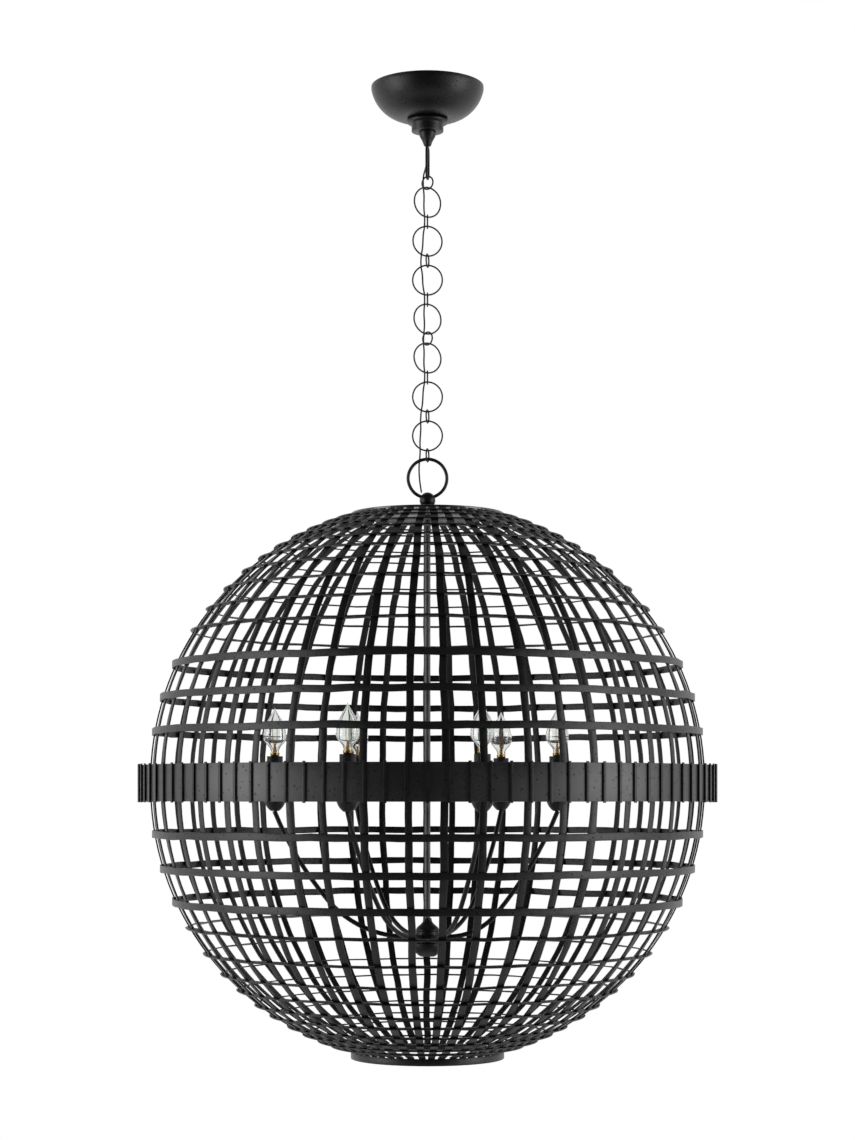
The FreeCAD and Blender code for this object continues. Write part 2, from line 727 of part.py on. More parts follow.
# The cord's route, from the ceiling down. It leaves the cone, passes out of the loop on the left
# and weaves through each large ring, from behind its top to before its foot, beside the small
# links. Each stretch moves with one piece of the chain, and short gaps part the stretches.
cord_canopy = [
    vec(0.0, 0.0, -30.0), vec(0.1, 0.0, -56.0), vec(-0.1, 0.1, -82.0), vec(0.5, 1.3, -97.0),
    vec(-2.9, 1.7, -111.0), vec(-6.0, 0.6, -121.6), vec(-5.8, 0.5, -128.6),
]
cord_rings = [
    [vec(-5.8, 0.5, -131.4), vec(-5.8, 0.4, -136.3), vec(-4.5, -0.9, -147.1),
     vec(-5.1, -4.3, -165.4), vec(-3.8, -5.5, -176.5), vec(-3.8, -2.5, -181.4)],
    [vec(-3.9, -0.7, -184.2), vec(-3.9, 2.3, -189.1), vec(-6.0, 0.7, -199.9),
     vec(-6.4, -3.5, -218.2), vec(-8.6, -5.0, -229.3), vec(-8.8, -1.8, -234.2)],
    [vec(-9.0, 0.0, -237.0), vec(-9.2, 3.1, -241.9), vec(-6.9, 1.7, -252.7),
     vec(-6.3, -1.9, -271.0), vec(-3.9, -3.1, -282.1), vec(-3.9, -1.3, -287.0)],
    [vec(-4.0, -0.3, -289.8), vec(-4.0, 1.6, -294.7), vec(-5.0, 0.0, -305.5),
     vec(-3.9, -4.3, -323.8), vec(-4.9, -5.7, -334.9), vec(-5.2, -3.2, -339.8)],
    [vec(-5.3, -1.7, -342.6), vec(-5.6, 0.8, -347.5), vec(-4.4, -0.5, -358.3),
     vec(-5.1, -4.0, -376.6), vec(-3.8, -5.2, -387.7), vec(-3.8, -2.0, -392.6)],
    [vec(-3.9, -0.1, -395.4), vec(-3.9, 3.1, -400.3), vec(-6.0, 1.7, -411.1),
     vec(-6.5, -1.9, -429.4), vec(-8.7, -3.1, -440.5), vec(-9.0, -0.7, -445.4)],
    [vec(-9.2, 0.7, -448.2), vec(-9.5, 3.1, -453.1), vec(-8.9, 1.7, -463.9),
     vec(-10.4, -1.9, -482.2), vec(-9.8, -3.1, -493.3), vec(-10.1, -0.6, -498.2)],
]
cord_hanging = [
    vec(-10.3, 0.9, -501.0), vec(-10.9, 4.1, -506.6), vec(-11.6, 3.6, -516.4),
    vec(-11.0, -1.6, -531.0), vec(-9.4, -5.4, -543.6), vec(-8.2, -6.5, -550.8),
]
cord_inside = [vec(-7.4, -6.2, -554.4), vec(-1.4, -2.0, -572.0)]


# Every piece, from the ceiling down
save(mounting_bar(), "mounting_bar")
save(threaded_nipple(), "threaded_nipple")
save(hex_nut(nipple_nut_across, nipple_r + seat_gap, -bar_thickness - nipple_nut_height,
             nipple_nut_height), "nipple_nut")
save(canopy_dish(), "canopy_dish")
save(canopy_collar(), "canopy_collar")
save(hook_loop(), "hook_loop")
save(bent_tube(cord_canopy, cord_r), "cord_canopy")

for k, turn in enumerate(small_link_turns):
    link = wire_ring(small_link_r, wire_r, wire_sides, vec(0, 0, small_centres[k]), turn)
    save(link, "small_link_" + str(k + 1))
for k, turn in enumerate(large_ring_turns):
    ring = wire_ring(large_ring_r, wire_r, wire_sides, vec(0, 0, large_centres[k]), turn)
    save(ring, "large_ring_" + str(k + 1))
    save(bent_tube(cord_rings[k], cord_r), "cord_ring_" + str(k + 1))
save(Part.makeTorus(hanging_ring_r, hanging_wire_r, vec(0, 0, hanging_centre), vec(0, 1, 0)),
     "hanging_ring")
save(bent_tube(cord_hanging, cord_r), "cord_hanging")

save(top_eye(), "top_eye")
plate = tube(plate_r, stem_r + seat_gap, plate_bottom, plate_top)
save(plate, "top_plate")
save(hex_nut(plate_nut_across, stem_r + seat_gap, plate_bottom - plate_nut_height,
             plate_nut_height), "plate_nut")
save_group([rib(full_turn * share) for share in rib_shares], "ribs")
save_group(cage_rings(upper_ring_shares, 1), "upper_rings")
save_group(cage_rings(lower_ring_shares, -1), "lower_rings")
save(tube(plate_r, plate_r - strip_thickness, mouth_bottom, mouth_top), "mouth_hoop")
save(tube(belt_r, belt_inner_r, waist_centre - belt_height / 2, waist_centre + belt_height / 2),
     "belt_hoop")
save_group([belt_bar(full_turn * n / belt_bars) for n in range(belt_bars)], "belt_bars")
spacer_step = len(rib_shares) / spacer_count
save_group([belt_spacer(full_turn * rib_shares[int(spacer_step * n)])
            for n in range(spacer_count)], "belt_spacers")

save(stem(), "stem")
save(hub_body(), "hub_body")
save(hub_cap(), "hub_cap")
save(hub_finial(), "hub_finial")
save_group([turned(arm(reach), turn - quarter_turn)
            for turn, reach in zip(arm_turns, arm_reaches)], "arms")
save_group(at_arm_ends(cup()), "cups")
save_group(at_arm_ends(candle_sleeve()), "candle_sleeves")
save_group(at_arm_ends(socket()), "sockets")
save_group(at_arm_ends(bulb_base()), "bulb_bases")
save_group(at_arm_ends(bulb_glass()), "bulbs")
save_group(at_arm_ends(filament()), "filaments")

print("least cord bend radius", round(min(bend_radii), 1))
print("heights: loop", round(loop_low, 2), "first large ring", round(large_centres[0], 2),
      "hanging ring", round(hanging_centre, 2), "plate", round(plate_top, 2),
      "waist", round(waist_centre, 2), "mouth", round(mouth_bottom, 2))
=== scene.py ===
from math import asin, atan2, cos, hypot, pi, radians, sin, sqrt

import bmesh
import bpy
from mathutils import Matrix, Vector
from mathutils.geometry import interpolate_bezier


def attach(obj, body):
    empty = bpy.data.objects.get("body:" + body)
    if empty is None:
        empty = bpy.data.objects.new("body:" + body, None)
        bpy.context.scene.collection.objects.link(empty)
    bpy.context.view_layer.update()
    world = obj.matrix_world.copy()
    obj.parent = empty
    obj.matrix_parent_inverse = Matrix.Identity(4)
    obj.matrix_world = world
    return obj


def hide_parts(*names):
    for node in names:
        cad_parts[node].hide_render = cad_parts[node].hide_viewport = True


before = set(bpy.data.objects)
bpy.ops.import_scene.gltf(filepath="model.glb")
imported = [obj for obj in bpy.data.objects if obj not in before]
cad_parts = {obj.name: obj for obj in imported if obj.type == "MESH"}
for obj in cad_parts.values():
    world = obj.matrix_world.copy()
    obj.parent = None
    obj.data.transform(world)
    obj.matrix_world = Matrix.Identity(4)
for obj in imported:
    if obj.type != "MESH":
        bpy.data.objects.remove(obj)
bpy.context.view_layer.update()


# Sizes are written in millimetres. The functions below make node trees, finishes and meshes.
mm = 0.001


def linear(code):
    """The linear colour of an sRGB hex value."""
    parts = [int(code[n:n + 2], 16) / 255 for n in (1, 3, 5)]
    return [p / 12.92 if p <= 0.04045 else ((p + 0.055) / 1.055) ** 2.4 for p in parts] + [1.0]


def add(tree, kind, values=(), links=(), **settings):
    """A node with its settings, the values of its sockets and the links that come in."""
    node = tree.nodes.new(kind)
    for name, value in settings.items():
        setattr(node, name, value)
    for socket, value in dict(values).items():
        node.inputs[socket].default_value = value
    for socket, source in dict(links).items():
        tree.links.new(source, node.inputs[socket])
    return node


def maths(tree, operation, *operands, kind="ShaderNodeMath"):
    """The outcome of an operation on numbers, vectors or the outputs of other nodes."""
    values = {n: v for n, v in enumerate(operands) if isinstance(v, (int, float, tuple))}
    links = {n: v for n, v in enumerate(operands) if n not in values}
    return add(tree, kind, values, links, operation=operation).outputs[0]


def vectors(tree, operation, *operands):
    """The same for an operation on vectors."""
    return maths(tree, operation, *operands, kind="ShaderNodeVectorMath")


def scaled(tree, vector, by):
    """A vector made longer or shorter."""
    return add(tree, "ShaderNodeVectorMath", links={0: vector, "Scale": by},
               operation="SCALE").outputs[0]


def xyz(tree, *parts):
    """A vector from three numbers or outputs of nodes."""
    values = {n: v for n, v in enumerate(parts) if isinstance(v, (int, float))}
    links = {n: v for n, v in enumerate(parts) if n not in values}
    return add(tree, "ShaderNodeCombineXYZ", values, links).outputs[0]


def ramp(tree, source, *stops):
    """A colour between two stops, each a position and an sRGB hex value."""
    node = add(tree, "ShaderNodeValToRGB", links={"Fac": source})
    for element, (position, code) in zip(node.color_ramp.elements, stops):
        element.position, element.color = position, linear(code)
    return node.outputs["Color"]


def in_scene(name, data):
    """A new object in the scene."""
    item = bpy.data.objects.new(name, data)
    bpy.context.scene.collection.objects.link(item)
    return item


def new_material(name, values=()):
    """A material, its node tree and its shader with the values of its sockets."""
    material = bpy.data.materials.new(name)
    material.use_nodes = True
    tree = material.node_tree
    tree.nodes.clear()
    shader = add(tree, "ShaderNodeBsdfPrincipled", values)
    add(tree, "ShaderNodeOutputMaterial", links={"Surface": shader.outputs["BSDF"]})
    return material, tree, shader


def speckled(name, low, high, grain, roughness, bump, metallic=0.0, level=0.5):
    """A finish whose colour and gloss wander between two shades over grains of one size."""
    material, tree, shader = new_material(
        name, {"Metallic": metallic, "Specular IOR Level": level})
    place = add(tree, "ShaderNodeTexCoord").outputs["Object"]
    fine = add(tree, "ShaderNodeTexNoise", {"Scale": 1 / grain, "Detail": 3.0, "Roughness": 0.6},
               {"Vector": place})
    shade = ramp(tree, fine.outputs["Fac"], (0.35, low), (0.68, high))
    gloss = add(tree, "ShaderNodeMapRange",
                {"To Min": roughness[0], "To Max": roughness[1]}, {"Value": fine.outputs["Fac"]})
    relief = add(tree, "ShaderNodeBump", {"Strength": bump, "Distance": grain / 6},
                 {"Height": fine.outputs["Fac"]})
    tree.links.new(shade, shader.inputs["Base Color"])
    tree.links.new(gloss.outputs["Result"], shader.inputs["Roughness"])
    tree.links.new(relief.outputs["Normal"], shader.inputs["Normal"])
    return material


def black_iron(name, low, high, pit, facet, roughness, relief_mm, level=0.5, pock=5.0):
    """Blackened iron: fine grain over broad, shallow facets, and scattered dull pocks."""
    material, tree, shader = new_material(name)
    place = add(tree, "ShaderNodeTexCoord").outputs["Object"]
    pits = add(tree, "ShaderNodeTexNoise", {"Scale": 1 / pit, "Detail": 4.0, "Roughness": 0.65},
               {"Vector": place})
    patches = add(tree, "ShaderNodeTexNoise", {"Scale": 1 / (facet * 2.5), "Detail": 2.0},
                  {"Vector": place})
    blows = add(tree, "ShaderNodeTexVoronoi", {"Scale": 1 / facet, "Smoothness": 0.6},
                {"Vector": place}, feature="SMOOTH_F1")
    worn = maths(tree, "MULTIPLY", pits.outputs["Fac"], patches.outputs["Fac"])
    shade = ramp(tree, worn, (0.16, low), (0.38, high))
    gloss = add(tree, "ShaderNodeMapRange",
                {"From Min": 0.3, "From Max": 0.7, "To Min": roughness[0], "To Max": roughness[1]},
                {"Value": pits.outputs["Fac"]})
    holes = add(tree, "ShaderNodeTexVoronoi", {"Scale": 1 / (pock * mm)}, {"Vector": place})
    whole = add(tree, "ShaderNodeMapRange",
                {"From Min": 0.1, "From Max": 0.24, "To Min": 0.25, "To Max": 1.0},
                {"Value": holes.outputs["Distance"]})
    shine = maths(tree, "MULTIPLY", whole.outputs["Result"], level)
    tree.links.new(shine, shader.inputs["Specular IOR Level"])
    broad = add(tree, "ShaderNodeBump", {"Strength": 0.6, "Distance": relief_mm * mm * 2},
                {"Height": blows.outputs["Distance"]})
    pocks = add(tree, "ShaderNodeBump", {"Strength": 0.5, "Distance": relief_mm * mm},
                {"Height": whole.outputs["Result"], "Normal": broad.outputs["Normal"]})
    fine = add(tree, "ShaderNodeBump", {"Strength": 0.5, "Distance": relief_mm * mm},
               {"Height": pits.outputs["Fac"], "Normal": pocks.outputs["Normal"]})
    tree.links.new(shade, shader.inputs["Base Color"])
    tree.links.new(gloss.outputs["Result"], shader.inputs["Roughness"])
    tree.links.new(fine.outputs["Normal"], shader.inputs["Normal"])
    return material


def give(material, *names):
    """Gives CAD nodes a finish."""
    for name in names:
        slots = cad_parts[name].data.materials
        slots.clear()
        slots.append(material)


def fit(piece, body, slot, *replaced):
    """Sets a finished piece on its body, in the place of the CAD nodes that it stands for."""
    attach(piece, body)
    if replaced:
        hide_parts(*replaced)
    return piece


def shaped(name, mesh, material, crease=38.0):
    """An object at the origin with one finish, smooth but for its sharp edges."""
    mesh.name = name
    mesh.materials.clear()
    mesh.materials.append(material)
    mesh.polygons.foreach_set("material_index", [0] * len(mesh.polygons))
    mesh.shade_smooth()
    mesh.set_sharp_from_angle(angle=radians(crease))
    piece = in_scene(name, mesh)
    return piece


def bend(start, first, second, end, count=10):
    """Points of a smooth curve in the section plane, from its start to just before its end."""
    knots = [Vector((r, z, 0)) for r, z in (start, first, second, end)]
    return [(p.x, p.y) for p in interpolate_bezier(*knots, count + 1)][:-1]


def round_arc(start, middle, end, count=14):
    """Points on the circle through three points, from its start to just before its end."""
    (ax, ay), (bx, by), (cx, cy) = start, middle, end
    twice = 2 * (ax * (by - cy) + bx * (cy - ay) + cx * (ay - by))
    a, b, c = ax * ax + ay * ay, bx * bx + by * by, cx * cx + cy * cy
    mx = (a * (by - cy) + b * (cy - ay) + c * (ay - by)) / twice
    my = (a * (cx - bx) + b * (ax - cx) + c * (bx - ax)) / twice
    radius = hypot(ax - mx, ay - my)
    first, last = atan2(ay - my, ax - mx), atan2(cy - my, cx - mx)
    side = (bx - ax) * (cy - ay) - (by - ay) * (cx - ax)
    sweep = (last - first) % (2 * pi) if side > 0 else -((first - last) % (2 * pi))
    return [(mx + radius * cos(first + sweep * n / count),
             my + radius * sin(first + sweep * n / count)) for n in range(count)]


def lathe(outline, steps=96):
    """A closed outline in radius and height, turned once round the vertical."""
    made = bmesh.new()
    rings = []
    for radius, height in outline:
        if radius < 1e-7:
            rings.append([made.verts.new((0, 0, height))])
            continue
        rings.append([made.verts.new((radius * cos(2 * pi * n / steps),
                                      radius * sin(2 * pi * n / steps), height))
                      for n in range(steps)])
    for this, after in zip(rings, rings[1:] + rings[:1]):
        if len(this) == 1 and len(after) == 1:
            continue
        for n in range(steps):
            m = (n + 1) % steps
            corners = [this[n % len(this)], this[m % len(this)],
                       after[m % len(after)], after[n % len(after)]]
            made.faces.new(list(dict.fromkeys(corners)))
    bmesh.ops.recalc_face_normals(made, faces=made.faces)
    mesh = bpy.data.meshes.new("turned")
    made.to_mesh(mesh)
    made.free()
    return mesh


def in_mm(outline):
    """An outline's points in metres."""
    return [(r * mm, z * mm) for r, z in outline]


def rod(points, radius, sides, closed=False):
    """Round rod along points, with flat caps where it is open."""
    made = bmesh.new()
    count = len(points)
    rings = []
    side = None
    for n, point in enumerate(points):
        before = points[(n - 1) % count] if closed or n else points[0]
        after = points[(n + 1) % count] if closed or n < count - 1 else points[-1]
        along = (after - before).normalized()
        if side is None:
            side = along.orthogonal().normalized()
        side = (side - along * side.dot(along)).normalized()
        up = along.cross(side)
        rings.append([made.verts.new(point + (side * cos(a) + up * sin(a)) * radius)
                      for a in (2 * pi * k / sides for k in range(sides))])
    pairs = list(zip(rings, rings[1:] + (rings[:1] if closed else [])))
    for this, after in pairs:
        turn = 0
        if closed and after is rings[0]:
            turn = min(range(sides), key=lambda k: (this[0].co - after[k].co).length)
        for k in range(sides):
            made.faces.new([this[k], this[(k + 1) % sides],
                            after[(k + 1 + turn) % sides], after[(k + turn) % sides]])
    if not closed:
        made.faces.new(rings[0][::-1])
        made.faces.new(rings[-1])
    bmesh.ops.recalc_face_normals(made, faces=made.faces)
    mesh = bpy.data.meshes.new("rod")
    made.to_mesh(mesh)
    made.free()
    return mesh


def joined(meshes):
    """One mesh from several."""
    made = bmesh.new()
    for mesh in meshes:
        made.from_mesh(mesh)
    mesh = bpy.data.meshes.new("joined")
    made.to_mesh(mesh)
    made.free()
    return mesh


def new_tree(name, inputs):
    """A Geometry Nodes tree, with its start and end and the named inputs for its sizes."""
    tree = bpy.data.node_groups.new(name, "GeometryNodeTree")
    tree.interface.new_socket("Geometry", in_out="INPUT", socket_type="NodeSocketGeometry")
    for label, kind in inputs.items():
        tree.interface.new_socket(label, in_out="INPUT", socket_type="NodeSocket" + kind)
    tree.interface.new_socket("Geometry", in_out="OUTPUT", socket_type="NodeSocketGeometry")
    return tree, tree.nodes.new("NodeGroupInput").outputs, tree.nodes.new("NodeGroupOutput")


def end_tree(tree, end, geometry, finish):
    """Turns what a tree has made into one plain, smooth mesh with its finish."""
    plain = add(tree, "GeometryNodeRealizeInstances", links={"Geometry": geometry})
    dressed = add(tree, "GeometryNodeSetMaterial",
                  links={"Geometry": plain.outputs[0], "Material": finish})
    tree.links.new(dressed.outputs[0], end.inputs["Geometry"])


def grown(name, tree, sizes, material, places=((0, 0, 0),), facts=(), crease=38.0):
    """Runs a tree on seed points that carry named facts, and keeps what it makes as a mesh."""
    seeds = bpy.data.meshes.new(name + "_seeds")
    seeds.from_pydata([Vector(p) for p in places], [], [])
    for label, values in dict(facts).items():
        seeds.attributes.new(label, "FLOAT", "POINT").data.foreach_set("value", values)
    holder = in_scene(name + "_seeds", seeds)
    growing = holder.modifiers.new("grow", "NODES")
    growing.node_group = tree
    for item in tree.interface.items_tree:
        if item.in_out == "INPUT" and item.name in sizes:
            growing[item.identifier] = sizes[item.name]
        elif item.in_out == "INPUT" and item.name == "Finish":
            growing[item.identifier] = material
    bpy.context.view_layer.update()
    ready = holder.evaluated_get(bpy.context.evaluated_depsgraph_get())
    mesh = bpy.data.meshes.new_from_object(ready)
    holder.modifiers.remove(growing)
    bpy.data.objects.remove(holder)
    return shaped(name, mesh, material, crease)


def fact(tree, label):
    """A named fact of the seed points."""
    return add(tree, "GeometryNodeInputNamedAttribute", {"Name": label},
               data_type="FLOAT").outputs["Attribute"]


def strip_profile(tree, width, thickness, edge):
    """The section of a flat strip with its edges rounded by the hammer."""
    flat = add(tree, "GeometryNodeCurvePrimitiveQuadrilateral",
               links={"Width": width, "Height": thickness})
    return add(tree, "GeometryNodeFilletCurve", {"Count": 2},
               {"Curve": flat.outputs[0], "Radius": edge}, mode="POLY").outputs[0]


def turned_copies(tree, points, pattern):
    """The pattern on every seed point, turned by the point's own angle."""
    return add(tree, "GeometryNodeInstanceOnPoints",
               links={"Points": points, "Instance": pattern,
                      "Rotation": xyz(tree, 0.0, 0.0, fact(tree, "turn"))}).outputs[0]


# Mounting bar: a strip of steel across the ceiling box, hidden by the canopy. It is pressed from
# sheet, and a threaded nipple with its nut hangs the whole lantern from it. All are zinc plated,
# a dull blue-grey metal with a fine crystalline mottle.
zinc_plate = speckled("zinc_plated_steel", "#8c9094", "#b4b8bc", 2.5 * mm, (0.34, 0.5), 0.2,
                      metallic=1.0)
give(zinc_plate, "mounting_bar", "threaded_nipple", "nipple_nut")


# Canopy: a bowl spun from thin steel sheet, its edge turned square to the ceiling, held up on the
# nipple by the knob below. Its satin black stove paint has an orange-peel texture a millimetre or
# two across, and is greyer in worn patches and at a low angle.
stove_paint = black_iron("stove_painted_spun_steel", "#050505", "#121213", 1.6 * mm, 22 * mm,
                         (0.3, 0.44), 0.25, level=0.35)
canopy_r, canopy_wall, canopy_low, flat_r, nipple_r = 76.2, 1.2, -44.0, 30.0, 5.1
inner_r, inner_low = canopy_r - canopy_wall, canopy_low + canopy_wall
canopy_outside = [(canopy_r, 0), (canopy_r, -3.6)]
canopy_outside += round_arc((canopy_r, -4), (63.2, -29.0), (flat_r, canopy_low))
canopy_outside += [(flat_r, canopy_low), (nipple_r, canopy_low)]
canopy_inside = [(nipple_r, inner_low), (flat_r, inner_low)]
canopy_inside += round_arc((flat_r, inner_low), (62.0, -27.8), (inner_r, -4))
canopy_inside += [(inner_r, -4), (inner_r, 0)]
canopy_bowl = shaped("canopy_bowl", lathe(in_mm(canopy_outside + canopy_inside), 128), stove_paint)
fit(canopy_bowl, "canopy", "iron", "canopy_dish")


# Canopy knob: turned from bar, a round bead over a plain neck with broken edges. It screws up the
# nipple and pinches the bowl to the ceiling.
bead_r, bead_low, knob_low, flex_bore = 24.8, -50.0, -61.0, 1.4
knob_outline = [(nipple_r, canopy_low), (bead_r - 0.2, canopy_low)]
knob_outline += round_arc((bead_r, canopy_low), (27.8, -47.0), (bead_r, bead_low), 12)
knob_outline += [(bead_r, bead_low), (22.9, -50.2), (22.0, -51.2), (21.7, -52.4), (21.7, -60.0),
                 (21.4, -60.7), (20.7, knob_low), (flex_bore, knob_low), (flex_bore, -56.0),
                 (nipple_r, -56.0)]
knob = shaped("canopy_knob", lathe(in_mm(knob_outline), 96), stove_paint)
fit(knob, "canopy", "iron", "canopy_collar")


# Hook: a cast cone that screws into the knob, with a long oval loop of iron rod drawn from it.
# The cone swells to a soft shoulder and its tip runs out along the loop.
hook_cone = [(flex_bore, knob_low), (10.9, knob_low), (11.6, -61.6)]
hook_cone += bend((11.6, -62.4), (11.2, -70.0), (6.6, -71.0), (5.0, -80.0), 12)
hook_cone += [(4.6, -80.0), (3.6, -80.6), (flex_bore, -80.6)]
loop_half, loop_high, loop_low, loop_wire = 8.8, -88.8, -115.6, 1.8
loop_path = []
for end, (near, far, side) in enumerate(((loop_high, loop_low, -1), (loop_low, loop_high, 1))):
    for n in range(17):
        angle = pi * (end + n / 16)
        loop_path.append((loop_half * cos(angle), near + loop_half * sin(angle)))
    for n in range(1, 8):
        loop_path.append((side * loop_half, near + (far - near) * n / 8))
loop_turn = Matrix.Rotation(radians(82), 4, "Z")
loop_points = [loop_turn @ Vector((x * mm, 0, z * mm)) for x, z in loop_path]
hook = shaped("hook", joined([lathe(in_mm(hook_cone), 48),
                              rod(loop_points, loop_wire * mm, 16, True)]), stove_paint)
fit(hook, "canopy", "iron", "hook_loop")


# Chain: rings of drawn iron wire, bent round by hand and welded shut, eight small ones between
# seven large ones. Each hangs loose in the next, turned its own way, none of them quite round.
link_tree, start, end = new_tree("wire_ring", {
    "Ring Radius": "Float", "Wire Radius": "Float", "Turn": "Float", "Height": "Float",
    "Unround": "Float", "Seed": "Float", "Finish": "Material"})
circle = add(link_tree, "GeometryNodeCurvePrimitiveCircle", {"Resolution": 72},
             {"Radius": start["Ring Radius"]})
where = add(link_tree, "GeometryNodeInputPosition").outputs[0]
wander = add(link_tree, "ShaderNodeTexNoise", {"Scale": 60.0, "Detail": 1.0},
             {"Vector": where, "W": start["Seed"]}, noise_dimensions="4D")
middle = vectors(link_tree, "SUBTRACT", wander.outputs["Color"], (0.5, 0.5, 0.5))
push = scaled(link_tree, middle, start["Unround"])
bent = add(link_tree, "GeometryNodeSetPosition",
           links={"Geometry": circle.outputs[0], "Offset": push})
placed = add(link_tree, "GeometryNodeTransform",
             links={"Geometry": bent.outputs[0],
                    "Rotation": xyz(link_tree, pi / 2, 0.0, start["Turn"]),
                    "Translation": xyz(link_tree, 0.0, 0.0, start["Height"])})
wire = add(link_tree, "GeometryNodeCurvePrimitiveCircle", {"Resolution": 14},
           {"Radius": start["Wire Radius"]})
swept = add(link_tree, "GeometryNodeCurveToMesh",
            links={"Curve": placed.outputs[0], "Profile Curve": wire.outputs[0]})
end_tree(link_tree, end, swept.outputs[0], start["Finish"])

# Black wire, drawn and heated: nearly black, smoother than the forged strips, with grey rubs.
black_wire = black_iron("blackened_drawn_wire", "#080808", "#171718", 1.2 * mm, 9 * mm,
                        (0.35, 0.5), 0.12)
wire_r, small_r, large_r, link_gap = 1.1, 8.65, 20.1, 0.15
small_turns = [-32.0, 90.0, 78.0, 90.0, -42.0, 90.0, 78.0, 78.0]
large_turns = [28.0, 12.0, 0.0, 25.0, 25.0, 0.0, 0.0]
first_top = loop_low - loop_half + loop_wire + wire_r + link_gap
small_drop = (small_r - wire_r) * 2 - link_gap
pitch = small_drop + (large_r - wire_r) * 2 - link_gap


def wire_ring(name, radius, wire_radius, turn, height, unround, body, node, seed):
    """A ring of round wire, turned about the vertical, in the place of its node."""
    ring = grown(name, link_tree, {
        "Ring Radius": radius * mm, "Wire Radius": wire_radius * mm,
        "Turn": radians(turn), "Height": height * mm, "Unround": unround * mm,
        "Seed": seed}, black_wire)
    return fit(ring, body, "iron", node)


for k, turn in enumerate(small_turns):
    node = "small_link_%d" % (k + 1)
    wire_ring("chain_" + node, small_r, wire_r, turn, first_top - pitch * k - small_r, 0.3,
              node, node, 1.0 + k)
for k, turn in enumerate(large_turns):
    node = "large_ring_%d" % (k + 1)
    wire_ring("chain_" + node, large_r, wire_r, turn,
              first_top - pitch * k - small_drop - large_r, 0.5, node, node, 21.0 + k)


# Hanging ring: one stout ring of hand-forged rod at the foot of the chain. It runs through the
# globe's top ball and its hammered sides are less even than the chain's.
stout_r, stout_wire = 26.25, 2.25
last_low = first_top - pitch * 7 - small_r * 2 + wire_r
wire_ring("forged_hanging_ring", stout_r, stout_wire, 0.0,
          last_low + stout_wire + link_gap - stout_r, 0.6, "hanging_ring", "hanging_ring", 41.0)


# Cord: round black insulated flex. It comes out of the cone, passes through every ring of the
# chain beside the small links, and goes into the globe's top ball.
flex = speckled("black_insulated_flex", "#0d0d0d", "#1b1b1c", 1.5 * mm, (0.4, 0.55), 0.15,
                level=0.4)
cord_r = 1.1 * mm
cord_start = (0.0, 0.0, -30.0)
# Each stretch: its body, its length, and the points that it follows from the last one's end.
cord_stretches = (
    ("canopy", 101, ((0.1, 0.0, -56.0), (-0.1, 0.1, -82.0), (0.5, 1.3, -97.0),
        (-2.9, 1.7, -111.0), (-6.0, 0.6, -121.6), (-5.8, 0.5, -130.0))),
    ("large_ring_1", 54, ((-5.8, 0.4, -136.3), (-4.5, -0.9, -147.1), (-5.1, -4.3, -165.4),
        (-3.8, -5.5, -176.5), (-3.9, -1.6, -182.8))),
    ("large_ring_2", 55, ((-3.9, 2.3, -189.1), (-6.0, 0.7, -199.9), (-6.4, -3.5, -218.2),
        (-8.6, -5.0, -229.3), (-8.9, -0.9, -235.6))),
    ("large_ring_3", 54, ((-9.2, 3.1, -241.9), (-6.9, 1.7, -252.7), (-6.3, -1.9, -271.0),
        (-3.9, -3.1, -282.1), (-3.9, -0.8, -288.4))),
    ("large_ring_4", 54, ((-4.0, 1.6, -294.7), (-5.0, 0.0, -305.5), (-3.9, -4.3, -323.8),
        (-4.9, -5.7, -334.9), (-5.3, -2.4, -341.2))),
    ("large_ring_5", 54, ((-5.6, 0.8, -347.5), (-4.4, -0.5, -358.3), (-5.1, -4.0, -376.6),
        (-3.8, -5.2, -387.7), (-3.8, -1.0, -394.0))),
    ("large_ring_6", 54, ((-3.9, 3.1, -400.3), (-6.0, 1.7, -411.1), (-6.5, -1.9, -429.4),
        (-8.7, -3.1, -440.5), (-9.1, 0.0, -446.8))),
    ("large_ring_7", 54, ((-9.5, 3.1, -453.1), (-8.9, 1.7, -463.9), (-10.4, -1.9, -482.2),
        (-9.8, -3.1, -493.3), (-10.2, 0.1, -499.6))),
    ("hanging_ring", 53, ((-10.9, 4.1, -506.6), (-11.6, 3.6, -516.4), (-11.0, -1.6, -531.0),
        (-9.4, -5.4, -543.6), (-8.2, -6.5, -550.8))),
)
for body, length, points in cord_stretches:
    route = (cord_start,) + points
    cord_start = points[-1]
    line = bpy.data.curves.new("flex_" + body, "CURVE")
    line.dimensions = "3D"
    spline = line.splines.new("NURBS")
    spline.points.add(len(route) - 1)
    for point, (x, y, z) in zip(spline.points, route):
        point.co = (x * mm, y * mm, z * mm, 1)
    spline.order_u = 3
    spline.use_endpoint_u = True
    line.bevel_depth = cord_r
    line.bevel_resolution = 3
    line.resolution_u = 8
    line.use_fill_caps = True
    line.materials.append(flex)
    cord = in_scene("flex_" + body, line)
    node = {"canopy": "cord_canopy", "hanging_ring": "cord_hanging"}.get(
        body, body.replace("large", "cord"))
    fit(cord, body, "cord", node)


# Top ball: a cast iron ball on a short foot, bored through for the hanging ring and drilled for
# the flex. Satin black, it picks up the pale room on both sides of the bore.
give(stove_paint, "top_eye")


